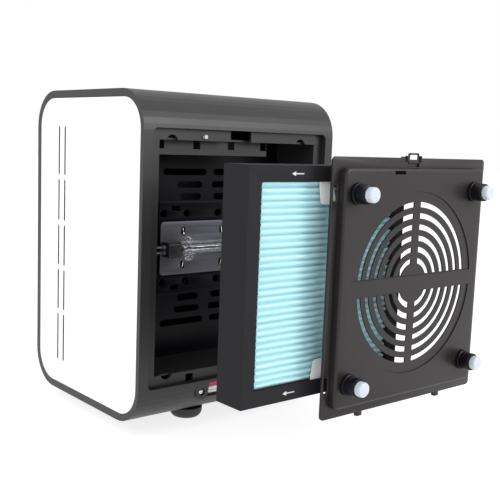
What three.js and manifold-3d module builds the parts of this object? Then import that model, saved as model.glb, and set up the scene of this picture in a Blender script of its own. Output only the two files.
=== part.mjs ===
// A tabletop air purifier with a germicidal lamp, shown with its filter drawn out of the rear bay and
// its rear cover taken off. Millimetres, +Z up, the rear of the purifier faces +Y. The origin is the
// middle of the base of everything as it stands here: housing, drawn-out filter and rear cover.
import * as THREE from 'three';
import { mergeVertices } from 'three/addons/utils/BufferGeometryUtils.js';
import Module from 'manifold-3d';

const wasm = await Module();
wasm.setup();

// ---------------------------------------------------------------- driving dimensions
const WIDTH = 256; // housing, along X
const DEPTH = 226; // housing, along Y
const HEIGHT = 340; // housing without its feet, along Z
const CORNER = 40; // radius of the wrap-around shell in side view
const WALL = 3; // shell wall
const END_WALL = 6; // thicker shell wall at the two sides
const RIM = 8; // dark rim round the side panels, front, top and bottom
const REAR_RIM = 5.6; // the same rim at the rear
const FIT = 0.35; // clearance between fixed pieces
const SEAM = 0.3; // gap between the front and the rear shell

const PANEL = 3; // side panel thickness
const PANEL_SEAT = 5; // ledge that a side panel rests on
const VENT = 3.4; // width of a side panel slot
const VENT_LANES = [-60.5, -47]; // the two columns of slots, along Y
const VENT_FOOT = 35; // bottom of the lowest slot
const VENT_HEAD = 39; // top of the highest slot to the top of the housing
const VENT_LONGER = 8; // how much longer the top and bottom slots are than those between
const VENT_GAP = 5; // bridge between two slots of a column

const RECESS_SIDE = 11.2; // recess edge to the side of the housing
const RECESS_TOP = 37.5; // recess edge to the top
const RECESS_FOOT = 39; // recess edge to the bottom
const RECESS = 7; // depth of the recess that the cover sits in
const LEDGE = 11.6; // ledge round the bay mouth, inside the recess
const LEDGE_PLATE = 3; // thickness of the ledge
const BAY = 70; // rear face to the chassis plate
const BAY_WALL = 2; // wall of the duct round the bay
const CHASSIS = 3; // chassis plate thickness

const FILTER_DEPTH = 36;
const FILTER_SIDE = 1.2; // clearance of the cartridge in the bay, each side
const FILTER_FLOOR = 2; // clearance under the cartridge
const FILTER_HEAD = 18.3; // room above the cartridge, for a hand
const FILTER_BORDER = 15; // frame round the pleats
const FILTER_OUT = 139.5; // how far the cartridge is drawn out here
const PLEAT = 6.7; // pleat pitch
const PLEAT_DEPTH = 24;

const COVER_FIT = 0.7; // clearance of the cover in the recess, each side
const COVER_TOP = 6.5; // recess edge to cover edge, top and bottom
const FLANGE = 2.5; // cover flange thickness
const FLANGE_EDGE = 10; // flange seen round the raised panel
const RAISED = 7.5; // raised panel above the flange
const GRILLE = 82; // outer radius of the grille slots
const GRILLE_PITCH = 11.3;
const GRILLE_SLOT = 5.2;
const GRILLE_RINGS = 6;
const SPACER_OUT = 15; // length of a spacer post
const SPACER = 9.5; // radius of a spacer post
const SPACER_CAP = 7.5; // radius of its soft cap
const SPACER_CAP_OUT = 7; // length of the cap beyond the post
const COVER_SHIFT = new THREE.Vector3(-97, 152, -14); // cover from its seat to where it stands here

const LAMP = 7.75; // lamp tube radius
const LAMP_LENGTH = 136; // tube with both caps
const LAMP_CAP = 17; // length of an end cap
const LAMP_RIGHT = 60; // outer end of the cap with the leads
const LAMP_RISE = 1.25; // lamp above the middle of the bay
const REFLECTOR = 1; // reflector sheet
const REFLECTOR_HEIGHT = 59;
const SPRING_X = [30.6, -22.8]; // the two holding springs
const SPRING = 2.2; // outer radius of a spring's coils

const FAN = 84; // wheel radius
const FAN_WIDTH = 46;
const FAN_Y = -40; // open face of the wheel
const FAN_DROP = 12; // fan shaft below the lamp
const INLET_LIP = 10; // length of the inlet ring's lip
const BLADES = 18;
const MOTOR = 31; // motor radius
const SHAFT = 4;

const BUTTON = 6.5; // control button radius
const BUTTON_PITCH = 30;
const CONTROL_DROP = 64; // middle of the control panel to the top of the housing
const FOOT = 18; // foot radius
const FOOT_HEIGHT = 12;
const FOOT_INSET = 90; // middle of a foot to the side of the housing
const FOOT_REAR = 43; // middle of a rear foot to the rear
const FOOT_FRONT = 39; // middle of a front foot to the front
const SCREW_X = 47.7; // rear fixing screws
const SCREW_Z = 26.4;

// sizes that follow from them
const REAR = DEPTH / 2;
const SIDE = WIDTH / 2;
const FLOOR_OF_RECESS = REAR - RECESS;
const RECESS_X = SIDE - RECESS_SIDE;
const RECESS_HIGH = HEIGHT - RECESS_TOP;
const MOUTH_X = RECESS_X - LEDGE;
const MOUTH_LOW = RECESS_FOOT + LEDGE;
const MOUTH_HIGH = RECESS_HIGH - LEDGE;
const CHASSIS_Y = REAR - BAY;
const SPLIT = REAR - CORNER;
const FILTER_X = MOUTH_X - FILTER_SIDE;
const FILTER_LOW = MOUTH_LOW + FILTER_FLOOR;
const FILTER_HIGH = MOUTH_HIGH - FILTER_HEAD;
const FILTER_REAR = FLOOR_OF_RECESS - 1;
const COVER_X = RECESS_X - COVER_FIT;
const COVER_LOW = RECESS_FOOT + COVER_TOP;
const COVER_HIGH = RECESS_HIGH - COVER_TOP;
const COVER_Z = (COVER_LOW + COVER_HIGH) / 2;
const COVER_Y = FLOOR_OF_RECESS + 0.5;
const COVER_FACE = COVER_Y + FLANGE + RAISED;
const LAMP_Y = CHASSIS_Y + FIT + REFLECTOR + LAMP + 1.6;
const LAMP_Z = (MOUTH_LOW + MOUTH_HIGH) / 2 + LAMP_RISE;
const CONTROL_Z = HEIGHT - CONTROL_DROP;

// ---------------------------------------------------------------- colours
function finish(color, roughness, metalness = 0, opacity = 1) {
  return new THREE.MeshStandardMaterial({
    color, roughness, metalness, opacity, transparent: opacity < 1,
  });
}
const charcoal = finish(0x3c3a3c, 0.45);
const coverGrey = finish(0x3a3638, 0.4);
const innerBlack = finish(0x1b1b1f, 0.5);
const panelWhite = finish(0xf6f6f6, 0.35);
const frameGrey = finish(0x3b383e, 0.8);
const pleatBlue = finish(0xc4eef4, 0.9);
const carbonBlack = finish(0x111113, 0.95);
const tabWhite = finish(0xf4f4f2, 0.7);
const steel = finish(0xb4b4b6, 0.3, 1);
const springSteel = finish(0xcfcfd2, 0.25, 1);
const glass = finish(0xe8eef2, 0.05, 0, 0.35);
const softClear = finish(0xdfe4f2, 0.35, 0, 0.8);
const rubberBlack = finish(0x17171a, 0.7);
const boardGreen = finish(0x1d5b36, 0.6);
const labelRed = finish(0xc8205f, 0.5);

// ---------------------------------------------------------------- solids
// A closed three.js geometry as a solid that can be joined and cut.
function solid(geometry) {
  const bare = geometry.index ? geometry.toNonIndexed() : geometry.clone();
  bare.deleteAttribute('normal');
  bare.deleteAttribute('uv');
  const merged = mergeVertices(bare, 1e-4);
  const kept = [];
  for (let i = 0; i < merged.index.count; i += 3) {
    const [a, b, c] = [0, 1, 2].map((k) => merged.index.getX(i + k));
    if (a !== b && b !== c && c !== a) kept.push(a, b, c);
  }
  return new wasm.Manifold(new wasm.Mesh({
    numProp: 3,
    vertProperties: new Float32Array(merged.attributes.position.array),
    triVerts: new Uint32Array(kept),
  }));
}

function geometryOf(body) {
  const mesh = body.getMesh();
  const geometry = new THREE.BufferGeometry();
  geometry.setAttribute('position', new THREE.BufferAttribute(mesh.vertProperties, 3));
  geometry.setIndex(new THREE.BufferAttribute(mesh.triVerts, 1));
  const faceted = geometry.toNonIndexed();
  faceted.computeVertexNormals();
  return faceted;
}

function join(first, ...rest) {
  return rest.reduce((all, next) => all.add(next), first);
}

function cut(first, ...rest) {
  return rest.reduce((all, next) => all.subtract(next), first);
}

function box(x0, x1, y0, y1, z0, z1) {
  const geometry = new THREE.BoxGeometry(x1 - x0, y1 - y0, z1 - z0);
  return solid(geometry.translate((x0 + x1) / 2, (y0 + y1) / 2, (z0 + z1) / 2));
}

// Planes that an outline is drawn in, and the direction it is thickened in.
const SPAN = {
  x: new THREE.Matrix4().set(0, 0, 1, 0, 1, 0, 0, 0, 0, 1, 0, 0, 0, 0, 0, 1), // drawn in Y and Z
  y: new THREE.Matrix4().set(1, 0, 0, 0, 0, 0, -1, 0, 0, 1, 0, 0, 0, 0, 0, 1), // drawn in X and Z
  z: new THREE.Matrix4(), // drawn in X and Y
};

function prism(axis, outline, from, to, curveSegments = 2) {
  const geometry = new THREE.ExtrudeGeometry(outline, {
    depth: to - from, bevelEnabled: false, curveSegments,
  });
  geometry.translate(0, 0, axis === 'y' ? -to : from);
  return solid(geometry.applyMatrix4(SPAN[axis]));
}

function roundRect(u0, u1, v0, v1, radius) {
  const r = Math.max(Math.min(radius, (u1 - u0) / 2 - 0.01, (v1 - v0) / 2 - 0.01), 0.1);
  const shape = new THREE.Shape();
  shape.moveTo(u0 + r, v0);
  shape.lineTo(u1 - r, v0);
  shape.absarc(u1 - r, v0 + r, r, -Math.PI / 2, 0);
  shape.lineTo(u1, v1 - r);
  shape.absarc(u1 - r, v1 - r, r, 0, Math.PI / 2);
  shape.lineTo(u0 + r, v1);
  shape.absarc(u0 + r, v1 - r, r, Math.PI / 2, Math.PI);
  shape.lineTo(u0, v0 + r);
  shape.absarc(u0 + r, v0 + r, r, Math.PI, Math.PI * 1.5);
  return shape;
}

function disc(u, v, radius) {
  return new THREE.Shape().absarc(u, v, radius, 0, Math.PI * 2);
}

// A round bar or hole; three.js draws a circle in twice as many steps as curveSegments says.
function rod(axis, u, v, radius, from, to, sides = 20) {
  return prism(axis, disc(u, v, radius), from, to, sides / 2);
}

// A turned solid. The profile runs from the axis out and back to it, as [radius, height] pairs.
function turned(profile, sides = 24) {
  const points = profile.map(([r, h]) => new THREE.Vector2(r, h));
  return new THREE.LatheGeometry(points, sides);
}

const model = new THREE.Group();
const housing = new THREE.Group();
const cartridge = new THREE.Group();
const cover = new THREE.Group();
model.add(housing, cartridge, cover);

function place(group, name, body, material, at = [0, 0, 0]) {
  const mesh = new THREE.Mesh(geometryOf(body), material);
  mesh.name = name;
  mesh.position.set(...at);
  group.add(mesh);
  return mesh;
}

// ---------------------------------------------------------------- wrap-around shells
// The side view of the housing, drawn in by a margin.
function profile(margin, rearMargin = margin) {
  const r = Math.max(CORNER - margin, 2);
  return roundRect(-REAR + margin, REAR - rearMargin, margin, HEIGHT - margin, r);
}

const block = prism('x', profile(0), -SIDE, SIDE, 5);
const hollow = prism('x', profile(WALL), -SIDE + END_WALL, SIDE - END_WALL, 5);
const windowThrough = prism('x', profile(RIM + PANEL_SEAT), -SIDE - 1, SIDE + 1, 5);
const pocketDepth = PANEL + FIT;
const panelPockets = [-1, 1].map((side) => {
  const [from, to] = side < 0 ? [-SIDE - 1, -SIDE + pocketDepth] : [SIDE - pocketDepth, SIDE + 1];
  return prism('x', profile(RIM, REAR_RIM), from, to, 5);
});

// Rear deck: the thick part of the rear wall that holds the cover recess, and the duct round the bay.
const deck = box(
  -RECESS_X - WALL, RECESS_X + WALL, FLOOR_OF_RECESS - LEDGE_PLATE, REAR + 1,
  RECESS_FOOT - WALL, RECESS_HIGH + WALL,
).intersect(block);
const duct = box(
  -MOUTH_X - BAY_WALL, MOUTH_X + BAY_WALL, CHASSIS_Y + FIT, FLOOR_OF_RECESS - 0.5,
  MOUTH_LOW - BAY_WALL, MOUTH_HIGH + BAY_WALL,
);
const recess = prism(
  'y', roundRect(-RECESS_X, RECESS_X, RECESS_FOOT, RECESS_HIGH, 5), FLOOR_OF_RECESS, REAR + 2,
);
const mouth = box(-MOUTH_X, MOUTH_X, CHASSIS_Y - 1, REAR + 1, MOUTH_LOW, MOUTH_HIGH);

// Latch slot and finger clearances in the ledge, and the square holes for the cover's pegs.
const LATCH = { x0: -11.9, x1: 16, step: 6, z: MOUTH_HIGH - 1 };
const latchSlot = join(
  box(LATCH.x0, LATCH.x1, FLOOR_OF_RECESS - 8, REAR - WALL, LATCH.z, RECESS_HIGH + 0.5),
  box(LATCH.x0, LATCH.x1 - LATCH.step, FLOOR_OF_RECESS - 8, REAR - WALL, LATCH.z, RECESS_HIGH + 1.6),
);
const PEG = { x0: 56, x1: 65.5, z0: RECESS_FOOT + 0.3, z1: RECESS_FOOT + 8.4 };
const pegHoles = [-1, 1].map((s) => box(
  Math.min(s * PEG.x0, s * PEG.x1), Math.max(s * PEG.x0, s * PEG.x1),
  FLOOR_OF_RECESS - 8, FLOOR_OF_RECESS + 1, PEG.z0, PEG.z1,
));
const FINGER_X = [MOUTH_X - 15.2, 21.2 - MOUTH_X];
const FINGER_Z = [MOUTH_LOW + 2, MOUTH_HIGH - 2];
const fingerNotches = FINGER_X.flatMap((x) => FINGER_Z.map((z) => rod(
  'y', x, z, 7.5, FLOOR_OF_RECESS - LEDGE_PLATE - 1, FLOOR_OF_RECESS + 1, 12,
)));
const KEYHOLE = { x: 50, z: COVER_HIGH - 1, radius: 2.6 };
const keyhole = rod('y', KEYHOLE.x, KEYHOLE.z, KEYHOLE.radius, SPLIT, REAR + 1, 12);

// Upper rail of the bay, with its four square notches.
const RAIL = {
  y: FLOOR_OF_RECESS - 14, end: MOUTH_X - 151.2, z: MOUTH_HIGH - 15, notch: 9, pitch: 45.3,
};
const railBar = box(RAIL.end, MOUTH_X + 0.5, RAIL.y - 2, RAIL.y, RAIL.z, MOUTH_HIGH + 0.5);
const railNotches = [0, 1, 2, 3].map((i) => {
  const x = MOUTH_X - 10.5 - i * RAIL.pitch;
  return box(
    x - RAIL.notch / 2, x + RAIL.notch / 2, RAIL.y - 3, RAIL.y + 1,
    MOUTH_HIGH - RAIL.notch, MOUTH_HIGH,
  );
});

// Screw barrels at the lower rear edge, and the pocket for the label between them.
const LABEL = { x: 34.5, z0: 21.7, z1: 33, pocket: 3.2 };
const barrels = [-1, 1].map((s) => rod('y', s * SCREW_X, SCREW_Z, 8, REAR - 20, REAR - 1, 20));
const barrelBores = [-1, 1].map((s) => rod('y', s * SCREW_X, SCREW_Z, 3.9, REAR - 8, REAR, 20));
const labelPocket = box(
  -SCREW_X + 9, SCREW_X - 9, REAR - 6 - LABEL.pocket, REAR + 1, LABEL.z0 - 3, LABEL.z1 + 2.6,
);
const labelBacking = box(
  -SCREW_X + 5, SCREW_X - 5, REAR - 9 - LABEL.pocket, REAR - 3.2, LABEL.z0 - 7, LABEL.z1 + 6,
).intersect(block);
const INLET = { x0: 16 - SIDE, x1: 46 - SIDE, z0: 14, z1: 34 };
const inletHole = box(INLET.x0, INLET.x1, REAR - 40, REAR + 1, INLET.z0, INLET.z1);

const frontHalf = box(-SIDE - 1, SIDE + 1, -REAR - 1, SPLIT - SEAM / 2, -1, HEIGHT + 1);
const rearHalf = box(-SIDE - 1, SIDE + 1, SPLIT + SEAM / 2, REAR + 1, -1, HEIGHT + 1);
const skin = cut(block, hollow, windowThrough, ...panelPockets);

// Front: a framed opening for the control panel.
const CONTROL = { x: 62, z0: CONTROL_Z - 20, z1: CONTROL_Z + 20 };
const controlOpening = prism(
  'y', roundRect(-CONTROL.x, CONTROL.x, CONTROL.z0, CONTROL.z1, 10), -REAR - 1, -REAR + WALL + 1, 3,
);
place(housing, 'front_shell', cut(skin.intersect(frontHalf), controlOpening), charcoal);

const rearSolid = cut(
  join(skin.intersect(rearHalf), deck, labelBacking, ...barrels),
  recess, mouth, latchSlot, ...pegHoles, ...fingerNotches, keyhole,
  labelPocket, ...barrelBores, inletHole,
);
const ductRing = cut(duct, mouth, latchSlot, ...fingerNotches, keyhole);
place(housing, 'rear_shell', join(rearSolid, ductRing, cut(railBar, ...railNotches)), charcoal);

// ---------------------------------------------------------------- side panels
// Two columns of five slots: the top and bottom slots are longer than the three between.
function ventColumn(lane) {
  const slotRoom = HEIGHT - VENT_FOOT - VENT_HEAD - 4 * VENT_GAP;
  const middle = (slotRoom - 2 * VENT_LONGER) / 5;
  const end = middle + VENT_LONGER;
  let low = VENT_FOOT;
  return [end, middle, middle, middle, end].map((length) => {
    const outline = roundRect(lane - VENT / 2, lane + VENT / 2, low, low + length, VENT / 2);
    low += length + VENT_GAP;
    return prism('x', outline, -SIDE - 1, SIDE + 1, 1);
  });
}
const vents = VENT_LANES.flatMap(ventColumn);
for (const [name, side] of [['side_panel_right', 1], ['side_panel_left', -1]]) {
  const faces = [side * SIDE, side * (SIDE - PANEL)].sort((a, b) => a - b);
  const sheet = prism('x', profile(RIM + FIT, REAR_RIM + FIT), ...faces, 5);
  place(housing, name, cut(sheet, ...vents), panelWhite);
}

// ---------------------------------------------------------------- chassis plate behind the bay
const chassisSheet = prism(
  'y', roundRect(-SIDE + END_WALL + FIT, SIDE - END_WALL - FIT, WALL + FIT, HEIGHT - WALL - FIT, 3),
  CHASSIS_Y - CHASSIS, CHASSIS_Y,
);
const SLOT_ROWS = [
  { dz: 84, spans: [[-1, 57.5], [-70, -10.5], [-99, -79]] },
  { dz: 70, spans: [[4, 39], [-72, -8.5], [-99, -81]] },
  { dz: 56.5, spans: [[6, 35], [-74, -11.5], [-99, -83]] },
];
const SLOT_HEIGHT = 7.4;
const chassisSlots = SLOT_ROWS.flatMap(({ dz, spans }) => spans.flatMap(([x0, x1]) => [-1, 1].map(
  (s) => prism(
    'y', roundRect(
      x0, x1, LAMP_Z + s * dz - SLOT_HEIGHT / 2, LAMP_Z + s * dz + SLOT_HEIGHT / 2, 3.6,
    ),
    CHASSIS_Y - CHASSIS - 1, CHASSIS_Y + 1, 1,
  ),
)));
const chassisHoles = [56.3, 25.4, -17.8, -48.7, -72].flatMap((x) => [-1, 1].map((s) => rod(
  'y', x, LAMP_Z + s * 38, 4, CHASSIS_Y - CHASSIS - 1, CHASSIS_Y + 1, 10,
)));
const chassisWindows = [-1, 1].map((s) => box(
  34.7, 46, CHASSIS_Y - CHASSIS - 1, CHASSIS_Y + 1, LAMP_Z + s * 44 - 4, LAMP_Z + s * 44 + 4,
));
const LEAD = { x: MOUTH_X - 10, radius: 1.3, spread: 3 };
const leadHole = rod('y', LEAD.x, LAMP_Z, 6, CHASSIS_Y - CHASSIS - 1, CHASSIS_Y + 1, 12);
place(
  housing, 'chassis_plate',
  cut(chassisSheet, ...chassisSlots, ...chassisHoles, ...chassisWindows, leadHole), innerBlack,
);

// ---------------------------------------------------------------- germicidal lamp
const reflectorFace = CHASSIS_Y + FIT + REFLECTOR;
const LAMP_LEFT = LAMP_RIGHT - LAMP_LENGTH;
const reflectorSheet = prism('y', roundRect(
  LAMP_LEFT - 0.5, LAMP_RIGHT + 0.4, LAMP_Z - REFLECTOR_HEIGHT / 2, LAMP_Z + REFLECTOR_HEIGHT / 2, 4,
), CHASSIS_Y + FIT, reflectorFace);
const HOOK_Z = 18.8;
const hookSlots = SPRING_X.flatMap((x) => [-1, 1].map((s) => box(
  x - 2.7, x + 2.7, CHASSIS_Y, reflectorFace + 1, LAMP_Z + s * HOOK_Z - 4, LAMP_Z + s * HOOK_Z + 4,
)));
place(housing, 'lamp_reflector', cut(reflectorSheet, ...hookSlots), steel);

place(
  housing, 'uv_lamp_tube',
  rod('x', LAMP_Y, LAMP_Z, LAMP, LAMP_LEFT + LAMP_CAP + FIT, LAMP_RIGHT - LAMP_CAP - FIT, 24), glass,
);
const capHalf = LAMP + 0.4;
for (const [name, x0] of [['lamp_cap_right', LAMP_RIGHT - LAMP_CAP], ['lamp_cap_left', LAMP_LEFT]]) {
  const outline = roundRect(
    LAMP_Y - capHalf, LAMP_Y + capHalf, LAMP_Z - capHalf, LAMP_Z + capHalf, 3,
  );
  place(housing, name, prism('x', outline, x0, x0 + LAMP_CAP), innerBlack);
}

// A tube of even thickness along a smooth curve through the points given.
function tubeAlong(points, radius, steps, sides = 8) {
  const path = new THREE.CatmullRomCurve3(points.map((p) => new THREE.Vector3(...p)));
  return solid(new THREE.ExtrudeGeometry(disc(0, 0, radius), {
    steps, extrudePath: path, curveSegments: sides / 2,
  }));
}

// Each spring is hooked in the reflector above the tube and below it, and passes over its front.
const springReach = LAMP + SPRING + 0.5;
SPRING_X.forEach((x, i) => {
  const over = [];
  for (let step = 0; step <= 8; step += 1) {
    const angle = (step / 8) * Math.PI;
    over.push([
      x, LAMP_Y + springReach * Math.sin(angle), LAMP_Z + springReach * Math.cos(angle),
    ]);
  }
  const start = [x, reflectorFace + SPRING + 0.3, LAMP_Z + springReach + 1];
  const end = [x, reflectorFace + SPRING + 0.3, LAMP_Z - springReach - 1];
  place(housing, `lamp_spring_${i + 1}`, tubeAlong([start, ...over, end], SPRING, 14), springSteel);
});

// Two leads from the right cap to the hole in the chassis plate.
[1, -1].forEach((s, i) => {
  const z = LAMP_Z + s * LEAD.spread;
  const route = [
    [LAMP_RIGHT + FIT, LAMP_Y, z],
    [LAMP_RIGHT + 12, LAMP_Y, z],
    [LEAD.x - 12, LAMP_Y - 0.5, z],
    [LEAD.x - 3, LAMP_Y - 4, z],
    [LEAD.x, CHASSIS_Y + 2, z],
    [LEAD.x, CHASSIS_Y - 9, z],
  ];
  place(housing, `lamp_lead_${i + 1}`, tubeAlong(route, LEAD.radius, 14), rubberBlack);
});

// Ballast on the dark side of the chassis plate, where the leads end.
const BALLAST = { x0: 50, x1: 86, y: 16, z0: 150, z1: 194 };
place(housing, 'lamp_ballast', box(
  BALLAST.x0, BALLAST.x1, CHASSIS_Y - CHASSIS - FIT - BALLAST.y, CHASSIS_Y - CHASSIS - FIT,
  BALLAST.z0, BALLAST.z1,
), innerBlack);

// ---------------------------------------------------------------- fan
const FAN_Z = LAMP_Z - FAN_DROP;
const wheelBack = FAN_Y - FAN_WIDTH;
const RING = 2.5;
const bladeBodies = [];
for (let i = 0; i < BLADES; i += 1) {
  const blade = new THREE.BoxGeometry(20, FAN_WIDTH - 1, 1.6);
  blade.rotateY(0.6);
  blade.translate(FAN - 12, FAN_Y - FAN_WIDTH / 2, 0);
  blade.rotateY((i * 2 * Math.PI) / BLADES);
  bladeBodies.push(solid(blade.translate(0, 0, FAN_Z)));
}
const backDisc = rod('y', 0, FAN_Z, FAN, wheelBack, wheelBack + RING, 32);
const mouthRing = cut(
  rod('y', 0, FAN_Z, FAN, FAN_Y - RING, FAN_Y, 32),
  rod('y', 0, FAN_Z, FAN - 22, FAN_Y - RING - 1, FAN_Y + 1, 32),
);
const hub = rod('y', 0, FAN_Z, 14, wheelBack, wheelBack + 24, 20);
const hubBore = rod('y', 0, FAN_Z, SHAFT + FIT, wheelBack - 1, wheelBack + 20, 16);
place(
  housing, 'fan_wheel', cut(join(backDisc, mouthRing, hub, ...bladeBodies), hubBore), innerBlack,
);

// Inlet ring that guides the air from the chassis plate into the wheel.
const RING_Y = FAN_Y + 3;
const inletPlate = prism(
  'y', roundRect(-FAN - 12, FAN + 12, FAN_Z - FAN - 12, FAN_Z + FAN + 12, 12), RING_Y, RING_Y + 3,
);
const inletLip = rod('y', 0, FAN_Z, FAN - 20, RING_Y, RING_Y + INLET_LIP, 32);
const inletThroat = rod('y', 0, FAN_Z, FAN - 23, RING_Y - 1, RING_Y + INLET_LIP + 1, 32);
place(housing, 'fan_inlet_ring', cut(join(inletPlate, inletLip), inletThroat), innerBlack);

const MOTOR_BACK = wheelBack - 3;
const MOTOR_FRONT = -REAR + WALL + 3 + FIT * 2;
const motorPlate = prism(
  'y', roundRect(-70, 70, FAN_Z - 45, FAN_Z + 45, 8), -REAR + WALL + FIT, -REAR + WALL + FIT + 3,
);
place(housing, 'motor_bracket', motorPlate, steel);
const motorCan = rod('y', 0, FAN_Z, MOTOR, MOTOR_FRONT, MOTOR_BACK, 28);
const bearingBore = rod('y', 0, FAN_Z, SHAFT + 0.1, MOTOR_BACK - 12, MOTOR_BACK + 1, 16);
place(housing, 'fan_motor', cut(motorCan, bearingBore), steel);
const shaftRod = rod('y', 0, FAN_Z, SHAFT, MOTOR_BACK - 11, wheelBack + 19, 16);
place(housing, 'fan_shaft', shaftRod, springSteel);

// ---------------------------------------------------------------- controls on the front
const controlFace = -REAR - 1.2;
const controlSheet = prism(
  'y', roundRect(-CONTROL.x + FIT, CONTROL.x - FIT, CONTROL.z0 + FIT, CONTROL.z1 - FIT, 10 - FIT),
  controlFace, -REAR + WALL, 3,
);
const BUTTONS = ['power_button', 'speed_button', 'lamp_button'];
const buttonX = BUTTONS.map((_, i) => (i - 1) * BUTTON_PITCH);
const buttonHoles = buttonX.map((x) => rod(
  'y', x, CONTROL_Z - 3, BUTTON + 0.4, controlFace - 1, -REAR + WALL + 1, 20,
));
const lensHole = prism('y', roundRect(-34, 34, CONTROL_Z + 9.5, CONTROL_Z + 13.5, 1.5),
  controlFace - 1, -REAR + WALL + 1);
place(housing, 'control_panel', cut(controlSheet, ...buttonHoles, lensHole), innerBlack);
place(housing, 'indicator_lens', prism(
  'y', roundRect(-34 + FIT, 34 - FIT, CONTROL_Z + 9.5 + FIT, CONTROL_Z + 13.5 - FIT, 1.2),
  controlFace + 0.2, -REAR + WALL,
), softClear);
BUTTONS.forEach((name, i) => {
  const stem = join(
    rod('y', 0, 0, BUTTON, controlFace - 1.4, -REAR + WALL + 1.6, 20),
    rod('y', 0, 0, BUTTON + 1.4, -REAR + WALL + 0.4, -REAR + WALL + 1.6, 20),
  );
  place(housing, name, stem, coverGrey, [buttonX[i], 0, CONTROL_Z - 3]);
});
place(housing, 'control_board', box(
  -54, 54, -REAR + WALL + 4, -REAR + WALL + 5.6, CONTROL.z0 + 3, CONTROL.z1 - 3,
), boardGreen);

// ---------------------------------------------------------------- safety switch in the rear ledge
const PLUNGER = { radius: KEYHOLE.radius - 0.5, out: 3 };
place(housing, 'switch_plunger', rod(
  'y', KEYHOLE.x, KEYHOLE.z, PLUNGER.radius,
  FLOOR_OF_RECESS - LEDGE_PLATE - 6, FLOOR_OF_RECESS + PLUNGER.out, 12,
), tabWhite);
const switchRear = FLOOR_OF_RECESS - LEDGE_PLATE - 0.5;
const switchBody = box(
  KEYHOLE.x - 10, KEYHOLE.x + 10, switchRear - 16, switchRear,
  MOUTH_HIGH + BAY_WALL + FIT, MOUTH_HIGH + BAY_WALL + FIT + 11,
);
place(housing, 'safety_switch', cut(
  switchBody,
  rod('y', KEYHOLE.x, KEYHOLE.z, PLUNGER.radius + 0.5, switchRear - 12, switchRear + 1, 12),
), rubberBlack);

// ---------------------------------------------------------------- lower rear edge
const screwHead = turned([[0, 0], [2, 0], [2, 3.4], [3.3, 3.4], [3.3, 4.6], [2.2, 5.6], [0, 5.6]], 16);
for (const [name, s] of [['rear_screw_right', 1], ['rear_screw_left', -1]]) {
  place(housing, name, solid(screwHead), springSteel, [s * SCREW_X, REAR - 7.6, SCREW_Z]);
}
place(housing, 'rating_label', box(
  -LABEL.x, LABEL.x, REAR - 6 - LABEL.pocket + FIT, REAR - 6 - LABEL.pocket + FIT + 0.8,
  LABEL.z0, LABEL.z1,
), labelRed);

// Power inlet: a square-shouldered appliance socket with three contact blades inside.
const socketFace = REAR - 2.4;
const socketShell = box(
  INLET.x0 + FIT, INLET.x1 - FIT, socketFace - 26, socketFace - 3, INLET.z0 + FIT, INLET.z1 - FIT,
);
const socketHollow = box(
  INLET.x0 + 3.5, INLET.x1 - 3.5, socketFace - 20, socketFace, INLET.z0 + 3.5, INLET.z1 - 3.5,
);
const socketBlades = [[-7, 9], [7, 9], [0, 12]].map(([dx, dz]) => box(
  (INLET.x0 + INLET.x1) / 2 + dx - 1, (INLET.x0 + INLET.x1) / 2 + dx + 1,
  socketFace - 21, socketFace - 6, INLET.z0 + dz - 2, INLET.z0 + dz + 2,
));
place(housing, 'power_inlet', join(cut(socketShell, socketHollow), ...socketBlades), innerBlack);

// ---------------------------------------------------------------- feet
const footProfile = [
  [0, 0], [FOOT * 0.62, 0], [FOOT * 0.86, 1.6], [FOOT * 0.97, 5], [FOOT, 9],
  [FOOT, FOOT_HEIGHT - FIT], [0, FOOT_HEIGHT - FIT],
];
const footBody = solid(turned(footProfile, 20).rotateX(Math.PI / 2));
for (const [name, x, y] of [
  ['foot_rear_right', SIDE - FOOT_INSET, REAR - FOOT_REAR],
  ['foot_rear_left', FOOT_INSET - SIDE, REAR - FOOT_REAR],
  ['foot_front_right', SIDE - FOOT_INSET, FOOT_FRONT - REAR],
  ['foot_front_left', FOOT_INSET - SIDE, FOOT_FRONT - REAR],
]) {
  place(housing, name, footBody, rubberBlack, [x, y, -FOOT_HEIGHT]);
}

// ---------------------------------------------------------------- filter cartridge
const filterFront = FILTER_REAR - FILTER_DEPTH;
const LIP = 2; // frame material over the pleats, at both faces
const frameBlock = box(-FILTER_X, FILTER_X, filterFront, FILTER_REAR, FILTER_LOW, FILTER_HIGH);
const windowCut = box(
  -FILTER_X + FILTER_BORDER, FILTER_X - FILTER_BORDER, filterFront - 1, FILTER_REAR + 1,
  FILTER_LOW + FILTER_BORDER, FILTER_HIGH - FILTER_BORDER,
);
const packRoom = box(
  -FILTER_X + 3, FILTER_X - 3, filterFront + LIP, FILTER_REAR - LIP, FILTER_LOW + 3, FILTER_HIGH - 3,
);
place(cartridge, 'filter_frame', cut(frameBlock, windowCut, packRoom), frameGrey);

// Pleats run across, as a zigzag sheet pack with a flat plan outline.
const packX = FILTER_X - 3 - FIT;
const packLow = FILTER_LOW + 3 + FIT;
const packHigh = FILTER_HIGH - 3 - FIT;
const folds = Math.round((packHigh - packLow) / PLEAT);
const foldPitch = (packHigh - packLow) / folds;
const packRear = FILTER_REAR - LIP - FIT;
const packFront = packRear - PLEAT_DEPTH;
const zigzag = new THREE.Shape();
zigzag.moveTo(packFront, packLow);
for (let i = 0; i < folds; i += 1) {
  zigzag.lineTo(packRear - 2.4, packLow + i * foldPitch);
  zigzag.lineTo(packRear, packLow + (i + 0.5) * foldPitch);
}
zigzag.lineTo(packRear - 2.4, packHigh);
zigzag.lineTo(packFront, packHigh);
zigzag.closePath();
place(cartridge, 'filter_pleats', prism('x', zigzag, -packX, packX), pleatBlue);
place(cartridge, 'carbon_layer', box(
  -packX, packX, filterFront + LIP + FIT, packFront - FIT, packLow, packHigh,
), carbonBlack);

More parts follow.
